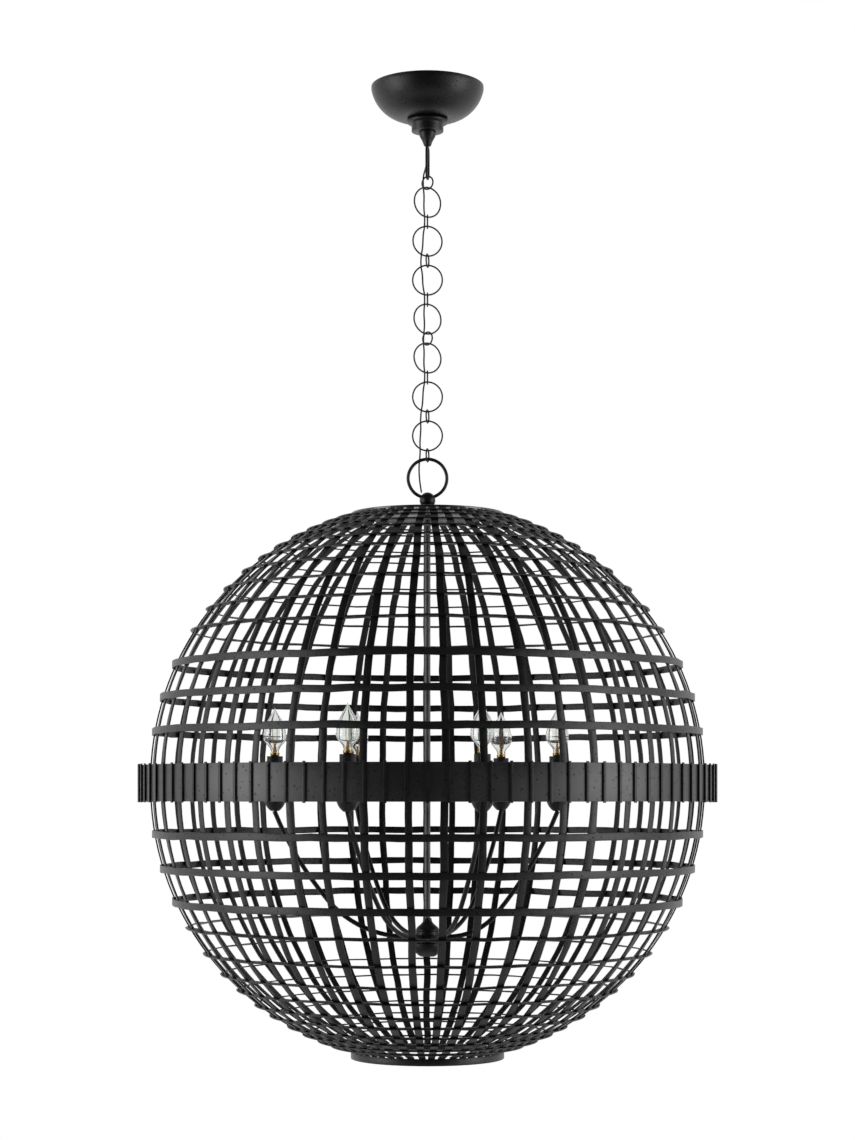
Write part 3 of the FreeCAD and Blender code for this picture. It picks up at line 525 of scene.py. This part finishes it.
# Top disc: hammered from plate, 3 mm thick with rounded edges. All the ribs are welded under its
# rim, and the stem's nut holds it on the ball's foot.
plate_top, plate_low, plate_r, stem_bore, lathe_steps = -578.7, -581.7, 104.0, 4.25, 160
disc_outline = [(stem_bore, plate_top), (plate_r - 0.8, plate_top),
                (plate_r - 0.2, plate_top - 0.3), (plate_r, plate_top - 1.0),
                (plate_r, plate_low + 1.0), (plate_r - 0.2, plate_low + 0.3),
                (plate_r - 0.8, plate_low), (stem_bore, plate_low)]
# Waxed plate iron: black, smooth enough to mirror the pale room at a low angle.
waxed_plate = black_iron("waxed_plate_iron", "#0a0a0b", "#1c1c1d", 1.5 * mm, 16 * mm,
                         (0.05, 0.12), 0.02, level=1.0, pock=9.0)
disc = shaped("top_disc", lathe(in_mm(disc_outline), lathe_steps), waxed_plate)
fit(disc, "globe", "iron", "top_plate")
# A thin face of pale metal under the disc, round the nut and inside the rim, is painted
# reflection: it stands in for the light caught in the cells between the ribs under the disc.
pale_painted_reflection = speckled("pale_steel_painted_reflection", "#8c8c8e", "#b6b6b8", 3.0 * mm, (0.3, 0.45), 0.1,
                      metallic=1.0)
reflection_in, reflection_out, reflection_top, reflection_low = 12.5, plate_r - 0.9, plate_low - 0.02, plate_low - 0.2
reflection_face = [(reflection_in, reflection_top), (reflection_out, reflection_top), (reflection_out, reflection_low), (reflection_in, reflection_low)]
underside = shaped("disc_underside", lathe(in_mm(reflection_face), lathe_steps), pale_painted_reflection)
fit(underside, "globe", "iron", "top_plate")
give(black_wire, "plate_nut")


# Ribs: 46 flat strips of forged iron, bent over a form from the disc at the top to the hoop at
# the mouth. They were set by eye, so their spacing and their edges wander a little.
forged_strip = black_iron("blackened_forged_strip", "#050505", "#131314", 1.5 * mm, 12 * mm,
                          (0.32, 0.48), 0.2, level=0.4, pock=6.0)
globe_r, strip_width, strip_thickness, edge_r = 374.0, 9.5, 2.0, 0.45
upper_centre, lower_centre = -941.088, -947.888
globe_middle = (upper_centre + lower_centre) / 2
end_lean = asin(sqrt(globe_r ** 2 - (plate_r - 0.5) ** 2) / globe_r)
rib_shares = [
    -0.2067, -0.1850, -0.1614, -0.1386, -0.1161, -0.0964, -0.0747, -0.0556, -0.0333, -0.0097,
    0.0089, 0.0292, 0.0531, 0.0733, 0.0928, 0.1167, 0.1367, 0.1581, 0.1836, 0.2042,
    0.2283, 0.2525, 0.2769, 0.3011, 0.3236, 0.3447, 0.3656, 0.3861, 0.4064, 0.4269,
    0.4506, 0.4672, 0.4842, 0.5008, 0.5294, 0.5500, 0.5711, 0.5922, 0.6133, 0.6344,
    0.6564, 0.6778, 0.6981, 0.7219, 0.7458, 0.7694,
]


def wander_over_globe(tree, geometry, amount, spacing, seed, sideways):
    """Moves a mesh sideways round the globe, or up and down its curve, by slow noise."""
    where = add(tree, "GeometryNodeInputPosition").outputs[0]
    noise = add(tree, "ShaderNodeTexNoise", {"Scale": 1 / spacing, "Detail": 2.0, "W": seed},
                {"Vector": where}, noise_dimensions="4D")
    much = maths(tree, "MULTIPLY", maths(tree, "SUBTRACT", noise.outputs["Fac"], 0.5), amount)
    out = vectors(tree, "ADD", where, (0.0, 0.0, -globe_middle * mm))
    east = vectors(tree, "CROSS_PRODUCT", (0.0, 0.0, 1.0), out)
    heading = east if sideways else vectors(tree, "CROSS_PRODUCT", out, east)
    push = scaled(tree, vectors(tree, "NORMALIZE", heading), much)
    return add(tree, "GeometryNodeSetPosition",
               links={"Geometry": geometry, "Offset": push}).outputs[0]


rib_tree, start, end = new_tree("bent_ribs", {
    "Globe Radius": "Float", "End Lean": "Float", "Upper Centre": "Float",
    "Lower Centre": "Float", "Strip Width": "Float", "Strip Thickness": "Float",
    "Edge": "Float", "Wander": "Float", "Finish": "Material"})
line = add(rib_tree, "GeometryNodeCurvePrimitiveLine", {"Start": (0, 0, 0), "End": (0, 0, -1)})
even = add(rib_tree, "GeometryNodeResampleCurve", {"Count": 62}, {"Curve": line.outputs[0]})
share = add(rib_tree, "GeometryNodeSplineParameter").outputs["Factor"]
lean = add(rib_tree, "ShaderNodeMapRange", {"From Min": 0.0, "From Max": 1.0},
           {"Value": share, "To Min": start["End Lean"],
            "To Max": maths(rib_tree, "MULTIPLY", start["End Lean"], -1.0)})
half_thick = maths(rib_tree, "MULTIPLY", start["Strip Thickness"], 0.5)
path_r = maths(rib_tree, "SUBTRACT", start["Globe Radius"], half_thick)
out = maths(rib_tree, "MULTIPLY", maths(rib_tree, "COSINE", lean.outputs[0]), path_r)
up = maths(rib_tree, "MULTIPLY", maths(rib_tree, "SINE", lean.outputs[0]), path_r)
above = add(rib_tree, "FunctionNodeCompare", {"B": 0.0}, {"A": lean.outputs[0]},
            data_type="FLOAT", operation="GREATER_THAN")
centre = add(rib_tree, "GeometryNodeSwitch",
             links={"Switch": above.outputs[0], "False": start["Lower Centre"],
                    "True": start["Upper Centre"]}, input_type="FLOAT")
spot = xyz(rib_tree, 0.0, maths(rib_tree, "MULTIPLY", out, -1.0),
           maths(rib_tree, "ADD", up, centre.outputs[0]))
path = add(rib_tree, "GeometryNodeSetPosition",
           links={"Geometry": even.outputs[0], "Position": spot})
section = strip_profile(rib_tree, start["Strip Width"], start["Strip Thickness"], start["Edge"])
strip = add(rib_tree, "GeometryNodeCurveToMesh", {"Fill Caps": True},
            {"Curve": path.outputs[0], "Profile Curve": section})
copies = turned_copies(rib_tree, start["Geometry"], strip.outputs[0])
solid = add(rib_tree, "GeometryNodeRealizeInstances", links={"Geometry": copies})
uneven = wander_over_globe(rib_tree, solid.outputs[0], start["Wander"], 70 * mm, 3.0, True)
end_tree(rib_tree, end, uneven, start["Finish"])
ribs = grown("forged_ribs", rib_tree, {
    "Globe Radius": globe_r * mm, "End Lean": end_lean, "Upper Centre": upper_centre * mm,
    "Lower Centre": lower_centre * mm, "Strip Width": strip_width * mm,
    "Strip Thickness": strip_thickness * mm, "Edge": edge_r * mm, "Wander": 7.0 * mm},
    forged_strip, [(0, 0, 0)] * len(rib_shares),
    {"turn": [2 * pi * share for share in rib_shares]})
fit(ribs, "globe", "iron", "ribs")


# Rings: 13 flat hoops round each half of the globe. The three near the waist are of the same
# strip as the ribs and stand upright. The others are narrower, lie at 10 to 22 degrees from level
# and are let into the ribs by their inner edge, so they show as thin lines.
ring_tree, start, end = new_tree("strip_rings", {
    "Strip Width": "Float", "Strip Thickness": "Float", "Edge": "Float", "Wander": "Float",
    "Finish": "Material"})
circle = add(ring_tree, "GeometryNodeCurvePrimitiveCircle", {"Resolution": 144, "Radius": 1.0})
reach = fact(ring_tree, "reach")
copies = add(ring_tree, "GeometryNodeInstanceOnPoints",
             links={"Points": start["Geometry"], "Instance": circle.outputs[0],
                    "Scale": xyz(ring_tree, reach, reach, 1.0)})
hoops = add(ring_tree, "GeometryNodeRealizeInstances", links={"Geometry": copies.outputs[0]})
normals = add(ring_tree, "GeometryNodeSetCurveNormal", links={"Curve": hoops.outputs[0]},
              mode="Z_UP")
tilted = add(ring_tree, "GeometryNodeSetCurveTilt",
             links={"Curve": normals.outputs[0], "Tilt": fact(ring_tree, "lean")})
section = strip_profile(ring_tree, start["Strip Width"], start["Strip Thickness"], start["Edge"])
strip = add(ring_tree, "GeometryNodeCurveToMesh",
            links={"Curve": tilted.outputs[0], "Profile Curve": section})
uneven = wander_over_globe(ring_tree, strip.outputs[0], start["Wander"], 60 * mm, 8.0, False)
end_tree(ring_tree, end, uneven, start["Finish"])

upper_shares = [
    0.112, 0.191, 0.271, 0.358, 0.418, 0.479, 0.538, 0.588, 0.633, 0.678, 0.717, 0.756, 0.789,
]
lower_shares = [
    0.110, 0.191, 0.272, 0.337, 0.408, 0.471, 0.524, 0.577, 0.619, 0.667, 0.706, 0.744, 0.778,
]
bands, band_lean = 3, pi / 2
hoop_width, hoop_thickness, let_in, stand_off = 7.5, 1.8, 3.0, 0.25
hoop_lean_shares = [-0.24, -0.17] + [-0.11] * 8


def ring_facts(latitudes, leans, width, thickness, side, centre):
    """Facts and heights of rings, whose strips stand off or cut into the ribs by one edge."""
    reaches, heights = [], []
    for latitude, lean in zip(latitudes, leans):
        steep = lean > pi / 2 - latitude
        slide = width / 2 * cos(pi / 2 - latitude - lean) / globe_r
        rest = latitude - slide if steep else latitude + slide
        seat = globe_r + stand_off if steep else globe_r - let_in
        foot = Vector((cos(rest), sin(rest))) * seat
        along = Vector((-cos(lean), sin(lean))) * width * (1 if steep else -1)
        thick = Vector((sin(lean), cos(lean))) * thickness
        middle = foot + along / 2 + thick / 2
        reaches.append(middle.x * mm)
        heights.append((centre + side * middle.y) * mm)
    return {"reach": reaches, "lean": [side * lean for lean in leans]}, heights


for half, node, shares, side, centre in (
        ("upper", "upper_rings", upper_shares, 1, upper_centre),
        ("lower", "lower_rings", lower_shares, -1, lower_centre)):
    latitudes = [share * pi / 2 for share in shares]
    for name, chosen, leans, width, thickness in (
            ("bands", latitudes[:bands], [band_lean] * bands, strip_width, strip_thickness),
            ("hoops", latitudes[bands:], [share * pi / 2 for share in hoop_lean_shares],
             hoop_width, hoop_thickness)):
        facts, heights = ring_facts(chosen, leans, width, thickness, side, centre)
        rings = grown(half + "_" + name, ring_tree, {
            "Strip Width": width * mm, "Strip Thickness": thickness * mm,
            "Edge": edge_r * mm, "Wander": 6.0 * mm}, forged_strip,
            [(0, 0, height) for height in heights], facts)
        fit(rings, "globe", "iron", node)


# Mouth hoop: an upright strip round the opening at the foot of the globe, which a hand reaches
# through to change a bulb. The ribs are welded to its top edge.
mouth_r, mouth_height = 103.0, -1312.04
mouth_hoop = grown("mouth_ring", ring_tree, {
    "Strip Width": strip_width * mm, "Strip Thickness": strip_thickness * mm,
    "Edge": edge_r * mm, "Wander": 0.0}, forged_strip,
    [(0, 0, mouth_height * mm)], {"reach": [mouth_r * mm], "lean": [band_lean]})
fit(mouth_hoop, "globe", "iron", "mouth_hoop")


# Belt: a tall band of sheet iron round the waist, rolled and welded, held off the ribs by blocks.
# It was brushed smooth before it was blackened, and shows greyer than the ribs and rings.
belt_iron = black_iron("blackened_sheet_iron", "#0a0a0b", "#1e1e1f", 2.0 * mm, 26 * mm,
                       (0.32, 0.46), 0.12, level=0.7, pock=7.0)
belt_r, belt_height, belt_thickness = 388.0, 48.0, 2.5
belt_band = grown("belt_band", ring_tree, {
    "Strip Width": belt_height * mm, "Strip Thickness": belt_thickness * mm, "Edge": 0.6 * mm,
    "Wander": 0.0}, belt_iron, [(0, 0, globe_middle * mm)],
    {"reach": [(belt_r - belt_thickness / 2) * mm], "lean": [band_lean]})
fit(belt_band, "globe", "iron", "belt_hoop")
give(belt_iron, "belt_spacers")


# Belt bars: 96 short half-round bars, spot welded upright on the band, each with its ends rounded
# off just past the band's edges. Their flanks catch the light as pairs of thin lines.
bar_tree, start, end = new_tree("belt_bars", {
    "Bar Length": "Float", "Bar Width": "Float", "Bar Depth": "Float", "Finish": "Material"})
line = add(bar_tree, "GeometryNodeCurvePrimitiveLine", {"Start": (0, 0, -0.5), "End": (0, 0, 0.5)})
even = add(bar_tree, "GeometryNodeResampleCurve", {"Count": 3}, {"Curve": line.outputs[0]})
tall = add(bar_tree, "GeometryNodeTransform",
           links={"Geometry": even.outputs[0],
                  "Scale": xyz(bar_tree, 1.0, 1.0, start["Bar Length"])})
profile = add(bar_tree, "GeometryNodeCurvePrimitiveQuadrilateral",
              {"Bottom Width": 1.0, "Top Width": 0.66, "Height": 1.0, "Offset": 0.0},
              mode="TRAPEZOID")
soft = add(bar_tree, "GeometryNodeFilletCurve", {"Count": 2, "Radius": 0.14},
           {"Curve": profile.outputs[0]}, mode="POLY")
sized = add(bar_tree, "GeometryNodeTransform",
            links={"Geometry": soft.outputs[0],
                   "Scale": xyz(bar_tree, start["Bar Width"], start["Bar Depth"], 1.0)})
bar = add(bar_tree, "GeometryNodeCurveToMesh", {"Fill Caps": True},
          {"Curve": tall.outputs[0], "Profile Curve": sized.outputs[0]})
copies = turned_copies(bar_tree, start["Geometry"], bar.outputs[0])
end_tree(bar_tree, end, copies, start["Finish"])
bar_count, bar_length, bar_width, bar_depth = 96, 51.0, 4.2, 2.4
bar_turns = [2 * pi * n / bar_count for n in range(bar_count)]
bar_reach = belt_r + 0.05 + bar_depth / 2
belt_bars = grown("belt_ribbing", bar_tree, {
    "Bar Length": bar_length * mm, "Bar Width": bar_width * mm, "Bar Depth": bar_depth * mm},
    forged_strip, [Vector((bar_reach * sin(turn), -bar_reach * cos(turn),
                           globe_middle)) * mm for turn in bar_turns], {"turn": bar_turns})
fit(belt_bars, "globe", "iron", "belt_bars")


# Stem: a steel tube down the middle that carries the light cluster and hides its wires. It is
# drawn smooth; its grey, lighter than the cage, is painted sheen standing in for its reflections.
sheen_painted_tube = black_iron("stem_painted_sheen", "#2c2c2d", "#505051", 1.4 * mm, 14 * mm,
                        (0.28, 0.4), 0.05, level=0.8)
stem_low, stem_high, stem_r, stem_inner_r = -1152.5, -568.0, 4.0, 2.6
stem = shaped("stem_tube", lathe(in_mm([
    (stem_r, stem_low), (stem_r, stem_high), (stem_inner_r, stem_high),
    (stem_inner_r, stem_low)]), 40), sheen_painted_tube)
fit(stem, "globe", "iron", "stem")


# Hub: a turned drum that the arms are welded to, with a domed cap down the stem on to it and an
# open bowl screwed up under it. All of it is cast iron, blackened like the cage.
hub_r, hub_top, hub_low, hub_seat = 16.0, -1144.5, -1160.5, -1152.7
hub_drum = [(stem_bore, hub_top), (hub_r - 0.4, hub_top), (hub_r, hub_top - 0.4),
            (hub_r, hub_low + 0.4), (hub_r - 0.4, hub_low), (0.0, hub_low), (0.0, hub_seat),
            (stem_bore, hub_seat)]
hub = shaped("hub_drum", lathe(in_mm(hub_drum), 64), stove_paint)
fit(hub, "globe", "iron", "hub_body")
dome_low, dome_high, throat_r = hub_top + 0.25, -1127.25, 5.5
dome = [(stem_bore, dome_low), (15.7, dome_low), (hub_r, -1143.9)]
dome += bend((hub_r, -1143.6), (14.72, -1136.6), (throat_r, -1136.6), (throat_r, -1127.5), 14)
dome += [(throat_r, -1127.5), (5.2, dome_high), (stem_bore, dome_high)]
cap = shaped("hub_dome", lathe(in_mm(dome), 64), stove_paint)
fit(cap, "globe", "iron", "hub_cap")
bowl_top, bowl_low, bowl_r, post_r, bowl_wall = hub_low - 0.25, -1179.25, 21.5, 9.5, 1.5
inside_r, inside_low, lip = bowl_r - bowl_wall, bowl_low + bowl_wall, -1161.1
bowl = [(0.0, bowl_top), (0.0, bowl_low), (post_r, bowl_low)]
bowl += round_arc((post_r, bowl_low), (18.49, -1170.9), (bowl_r, lip))
bowl += [(bowl_r, -1161.0), (21.2, bowl_top), (20.3, bowl_top), (inside_r, lip)]
bowl += round_arc((inside_r, lip), (16.99, -1170.2), (post_r, inside_low))
bowl += [(post_r, inside_low), (post_r, bowl_top)]
under_bowl = shaped("hub_bowl", lathe(in_mm(bowl), 64), stove_paint)
fit(under_bowl, "globe", "iron", "hub_finial")


# Arms: six round rods, welded level into the hub and bent by hand up to their cups. No two stand
# at quite the same angle or reach.
arm_turns = [-90.0, -31.0, 21.0, 90.0, 148.0, 210.0]
arm_reaches = [207.0, 199.0, 196.0, 176.0, 198.0, 200.0]
arm_start, arm_root, arm_wire, hub_height = 16.35, 12.0, 3.2, -1152.5
arm_rise, arm_tip = 170.5, 1.6
low_sweep, high_sweep = radians(50), radians(68)
arm_rods = []
for turn, reach in zip(arm_turns, arm_reaches):
    rise = arm_rise - 0.25 - arm_wire * cos(high_sweep)
    span = reach - arm_start - arm_root
    low_rise, low_span = 1 - cos(low_sweep), sin(low_sweep)
    high_rise = cos(low_sweep) - cos(high_sweep)
    high_span = sin(high_sweep) - sin(low_sweep)
    whole = low_rise * high_span - high_rise * low_span
    low_r = (rise * high_span - span * high_rise) / whole
    high_r = (span * low_rise - rise * low_span) / whole
    line = [(arm_start, 0.0), (arm_start + arm_root / 2, 0.0)]
    for n in range(17):
        angle = low_sweep * n / 16
        line.append((arm_start + arm_root + low_r * sin(angle),
                     low_r * (1 - cos(angle))))
    corner = line[-1]
    for n in range(1, 9):
        angle = low_sweep + (high_sweep - low_sweep) * n / 8
        line.append((corner[0] + high_r * (sin(angle) - sin(low_sweep)),
                     corner[1] + high_r * (cos(low_sweep) - cos(angle))))
    line.append((line[-1][0] + arm_tip * cos(high_sweep),
                 line[-1][1] + arm_tip * sin(high_sweep)))
    side = radians(turn)
    points = [Vector((r * sin(side), -r * cos(side), hub_height + h)) * mm
              for r, h in line]
    arm_rods.append(rod(points, arm_wire * mm, 14))
arms = shaped("candle_arms", joined(arm_rods), stove_paint)
fit(arms, "globe", "iron", "arms")


# Cups: six small spun bowls, one screwed to the tip of each arm, which catch the foot of the
# candle.
round_tree, start, end = new_tree("one_on_each_arm", {"Pattern": "Object", "Finish": "Material"})
pattern = add(round_tree, "GeometryNodeObjectInfo", links={"Object": start["Pattern"]})
copies = turned_copies(round_tree, start["Geometry"], pattern.outputs["Geometry"])
end_tree(round_tree, end, copies, start["Finish"])


def on_each_arm(name, mesh, material, slot, node):
    """Six copies of an upright piece, one over the tip of each arm, in place of a CAD node."""
    pattern = in_scene(name + "_pattern", mesh)
    places = [Vector((r * sin(radians(t)), -r * cos(radians(t)), 0)) * mm
              for t, r in zip(arm_turns, arm_reaches)]
    piece = grown(name, round_tree, {"Pattern": pattern}, material, places,
                  {"turn": [radians(40 * t) for t in range(6)]})
    bpy.data.objects.remove(pattern)
    return fit(piece, "globe", slot, node)


arm_top = hub_height + arm_rise
cup_foot, cup_r, cup_wall, cup_lip = 5.5, 14.5, 1.2, arm_top + 24.6
cup_outline = [(0.0, arm_top + cup_wall), (0.0, arm_top), (cup_foot, arm_top)]
cup_outline += round_arc((cup_foot, arm_top), (12.76, arm_top + 8.5), (cup_r, cup_lip))
cup_outline += [(cup_r, cup_lip), (14.3, cup_lip + 0.4), (13.5, cup_lip + 0.4),
                (cup_r - cup_wall, cup_lip)]
cup_outline += round_arc((cup_r - cup_wall, cup_lip), (11.56, arm_top + 9.1),
                         (cup_foot, arm_top + cup_wall))
cup_outline += [(cup_foot, arm_top + cup_wall)]
on_each_arm("drip_cups", lathe(in_mm(cup_outline), 48), stove_paint, "iron", "cups")


# Candle covers: plain tubes of black fibre board, pushed over the lamp holders. They are a shade
# softer than the iron, with a slight waxy sheen.
candle_black = speckled("waxed_fibre_candle_cover", "#0f0f0f", "#1e1d1c", 3.0 * mm, (0.35, 0.5),
                        0.15, level=0.4)
sleeve_low, sleeve_high, sleeve_r, sleeve_bore = arm_top + 8.7, arm_top + 74.2, 10.8, 9.9
sleeve = [(sleeve_r, sleeve_low), (sleeve_r, sleeve_high - 0.3), (10.6, sleeve_high),
          (10.1, sleeve_high), (sleeve_bore, sleeve_high - 0.3), (sleeve_bore, sleeve_low)]
on_each_arm("candle_covers", lathe(in_mm(sleeve), 48), candle_black, "sleeve", "candle_sleeves")


# Lamp holders: moulded brown phenolic inside the candle covers, of which only the top ring shows.
phenolic = speckled("moulded_phenolic", "#17110d", "#241b15", 2.0 * mm, (0.25, 0.4), 0.1)
bulb_low, bulb_tip = sleeve_high + 5.0, arm_top + 140.45
holder_foot, holder_step, holder_top = arm_top + 1.45, arm_top + 16.2, sleeve_high - 3.0
holder_r, foot_r, shell_bore, bore_foot = 9.2, 5.25, 6.7, bulb_low - 24.1
holder = [(0.0, holder_foot), (foot_r, holder_foot), (foot_r, holder_step),
          (holder_r, holder_step), (holder_r, holder_top - 0.4), (8.8, holder_top),
          (shell_bore, holder_top), (shell_bore, bore_foot), (0.0, bore_foot)]
on_each_arm("lamp_holders", lathe(in_mm(holder), 40), phenolic, "socket", "sockets")


# Lamp bases: the screw shell of each bulb, rolled from thin brass. A few turns of its thread
# stand above the candle.
lamp_brass = speckled("rolled_lamp_brass", "#a98442", "#c9a55e", 2.0 * mm, (0.2, 0.38), 0.12,
                      metallic=1.0)
shell_foot, thread_low, thread_length, thread_r = bulb_low - 23.75, bulb_low - 22.0, 19.0, 5.8
shell = [(0.0, shell_foot), (4.2, shell_foot)]
for n in range(33):
    shell.append((thread_r + 0.35 * cos(2 * pi * n / 8),
                  thread_low + thread_length * n / 32))
shell += [(6.2, bulb_low - 2.4), (6.2, bulb_low - 0.3), (5.9, bulb_low), (0.0, bulb_low)]
on_each_arm("lamp_bases", lathe(in_mm(shell), 40), lamp_brass, "brass", "bulb_bases")


# Bulbs: flame-shaped, blown from clear glass, thin walled and drawn out to a tip. The glass is
# faintly grey, so it darkens only at its edge, where the eye looks along the wall.
clear_glass, tree, shader = new_material("clear_blown_glass", {
    "Base Color": linear("#f4f6f4"), "Roughness": 0.02, "IOR": 1.5, "Transmission Weight": 1.0})
place = add(tree, "ShaderNodeTexCoord").outputs["Object"]
swirl = add(tree, "ShaderNodeTexNoise", {"Scale": 1 / (14 * mm), "Detail": 1.0},
            {"Vector": place})
ripple = add(tree, "ShaderNodeBump", {"Strength": 0.05, "Distance": 0.4 * mm},
             {"Height": swirl.outputs["Fac"]})
tree.links.new(ripple.outputs["Normal"], shader.inputs["Normal"])
smoke = add(tree, "ShaderNodeVolumeAbsorption", {"Color": linear("#c4c8c2"), "Density": 90.0})
output = [node for node in tree.nodes if node.type == "OUTPUT_MATERIAL"][0]
tree.links.new(smoke.outputs[0], output.inputs["Volume"])


def flame_side(wall):
    """The outline of the glass from its neck to its tip, less the wall."""
    low, high = bulb_low + 0.25, bulb_tip - wall
    belly = low + (high - low) * 0.34
    lift, rise = (belly - low) * 0.45, (high - belly) * 0.5
    neck, wide = 5.4 - wall, 15.5 - wall
    side = bend((neck, low), (neck, low + lift), (wide, belly - lift), (wide, belly), 12)
    side += bend((wide, belly), (wide, belly + rise), (wide * 0.22, high - rise / 2),
                 (0.0, high), 20)
    return side + [(0.0, high)]


glass_wall = 0.8
glass = flame_side(0.0) + flame_side(glass_wall)[::-1]
on_each_arm("flame_bulbs", lathe(in_mm(glass), 64), clear_glass, "glass", "bulbs")


# Filaments: a pinched glass stem with two lead wires and a hairpin of warm tungsten between them,
# held inside each bulb.
warm_wire = speckled("oxidised_tungsten", "#6b4a22", "#b98a45", 1.0 * mm, (0.3, 0.45), 0.1,
                     metallic=1.0)
stem_outline = [(0.0, bulb_low + 0.25), (2.6, bulb_low + 0.25)]
stem_outline += bend((2.6, bulb_low + 0.3), (2.6, bulb_low + 6.0), (1.2, bulb_low + 9.0),
                     (1.2, bulb_low + 12.0), 8)
stem_outline += [(1.2, bulb_low + 12.0), (0.0, bulb_low + 12.25)]
leads = []
for side in (-1, 1):
    hair = [Vector(((3.0 * side if n > 1 else 1.0 * side + side * n) * mm, 0,
                    (bulb_low + 9.5 + 3.4 * n) * mm)) for n in range(8)]
    leads.append(rod(hair, 0.4 * mm, 8))
coil = [Vector(((-3.0 + 6.0 * n / 60) * mm, 0.55 * sin(n * 1.2) * mm,
                (bulb_low + 34.6 - 2.2 * sin(pi * n / 60)
                 + 0.55 * cos(n * 1.2)) * mm)) for n in range(61)]
leads.append(rod(coil, 0.3 * mm, 6))
on_each_arm("filament_hairpins", joined([lathe(in_mm(stem_outline), 24)] + leads), warm_wire,
            "filament", "filaments")


# Studio: a pale floor well below the lantern, a white room that shows in glass and gloss, and
# three broad soft lamps, from the left, the right and above. The lamps, the room and the iron's
# shades were set together, until the iron's tones came near the photo's.
floor_half, floor_height = 1.7, -2.2
floor_mesh = bpy.data.meshes.new("floor")
floor_mesh.from_pydata([(x * floor_half, y * floor_half, floor_height)
                        for x, y in ((-1, -1), (1, -1), (1, 1), (-1, 1))], [], [(0, 1, 2, 3)])
floor_mesh.materials.append(new_material("pale_studio_floor", {
    "Base Color": linear("#eeeeec"), "Roughness": 0.8})[0])
floor = in_scene("floor", floor_mesh)

room = bpy.data.worlds.new("white_room")
room.use_nodes = True
bpy.context.scene.world = room
tree = room.node_tree
tree.nodes.clear()
ray = add(tree, "ShaderNodeLightPath").outputs
mirror = maths(tree, "MAXIMUM", ray["Is Glossy Ray"], ray["Is Transmission Ray"])
shown = maths(tree, "MAXIMUM", ray["Is Camera Ray"], mirror)
soft = add(tree, "ShaderNodeBackground", {"Color": linear("#ffffff"), "Strength": 0.6})
# Behind the camera and overhead the studio is dark to glossy rays, so that the backdrop and the
# two sides show most in the iron's sheen.
way = add(tree, "ShaderNodeSeparateXYZ", links={
    0: add(tree, "ShaderNodeTexCoord").outputs["Generated"]}).outputs
around = maths(tree, "ADD", maths(tree, "ABSOLUTE", way["X"]),
               maths(tree, "MAXIMUM", way["Y"], 0.0))
bright = maths(tree, "MULTIPLY_ADD", maths(tree, "MAXIMUM", way["Z"], 0.0), -0.7, around)
open_side = add(tree, "ShaderNodeMapRange", {"From Min": 0.4, "From Max": 0.85, "To Min": 0.05},
                {"Value": bright}, interpolation_type="SMOOTHSTEP")
seen = maths(tree, "MAXIMUM", ray["Is Camera Ray"], ray["Is Transmission Ray"])
level = maths(tree, "MAXIMUM", seen, open_side.outputs["Result"])
white = add(tree, "ShaderNodeBackground", {"Color": linear("#ffffff")}, {"Strength": level})
either = add(tree, "ShaderNodeMixShader",
             links={0: shown, 1: soft.outputs[0], 2: white.outputs[0]})
add(tree, "ShaderNodeOutputWorld", links={"Surface": either.outputs[0]})

lamp_target = Vector((0, 0, -0.9))
for name, place, size, power in (
        ("left_lamp", (-2.6, -0.9, -0.8), (1.4, 2.2), 28.0),
        ("right_lamp", (2.6, -0.9, -0.8), (1.4, 2.2), 28.0),
        ("top_lamp", (0.0, 1.2, 1.6), (2.4, 1.8), 4.0)):
    light = bpy.data.lights.new(name, "AREA")
    light.shape = "RECTANGLE"
    light.size, light.size_y = size
    light.energy = power
    lamp = in_scene(name, light)
    lamp.location = place
    aim = lamp_target - lamp.location
    lamp.rotation_euler = aim.to_track_quat("-Z", "Y").to_euler()

view_distance, view_height, frame_height = 3.256, -0.9604, 1.5464
lens = bpy.data.cameras.new("camera")
lens.sensor_fit = "AUTO"
lens.sensor_width = 36.0
lens.lens = 36.0 * view_distance / frame_height
lens.shift_y = 0.1974
camera = in_scene("camera", lens)
camera.location = (0.0, -view_distance, view_height)
camera.rotation_euler = (pi / 2, 0, 0)
bpy.context.scene.camera = camera
bpy.context.scene.view_settings.view_transform = "Standard"
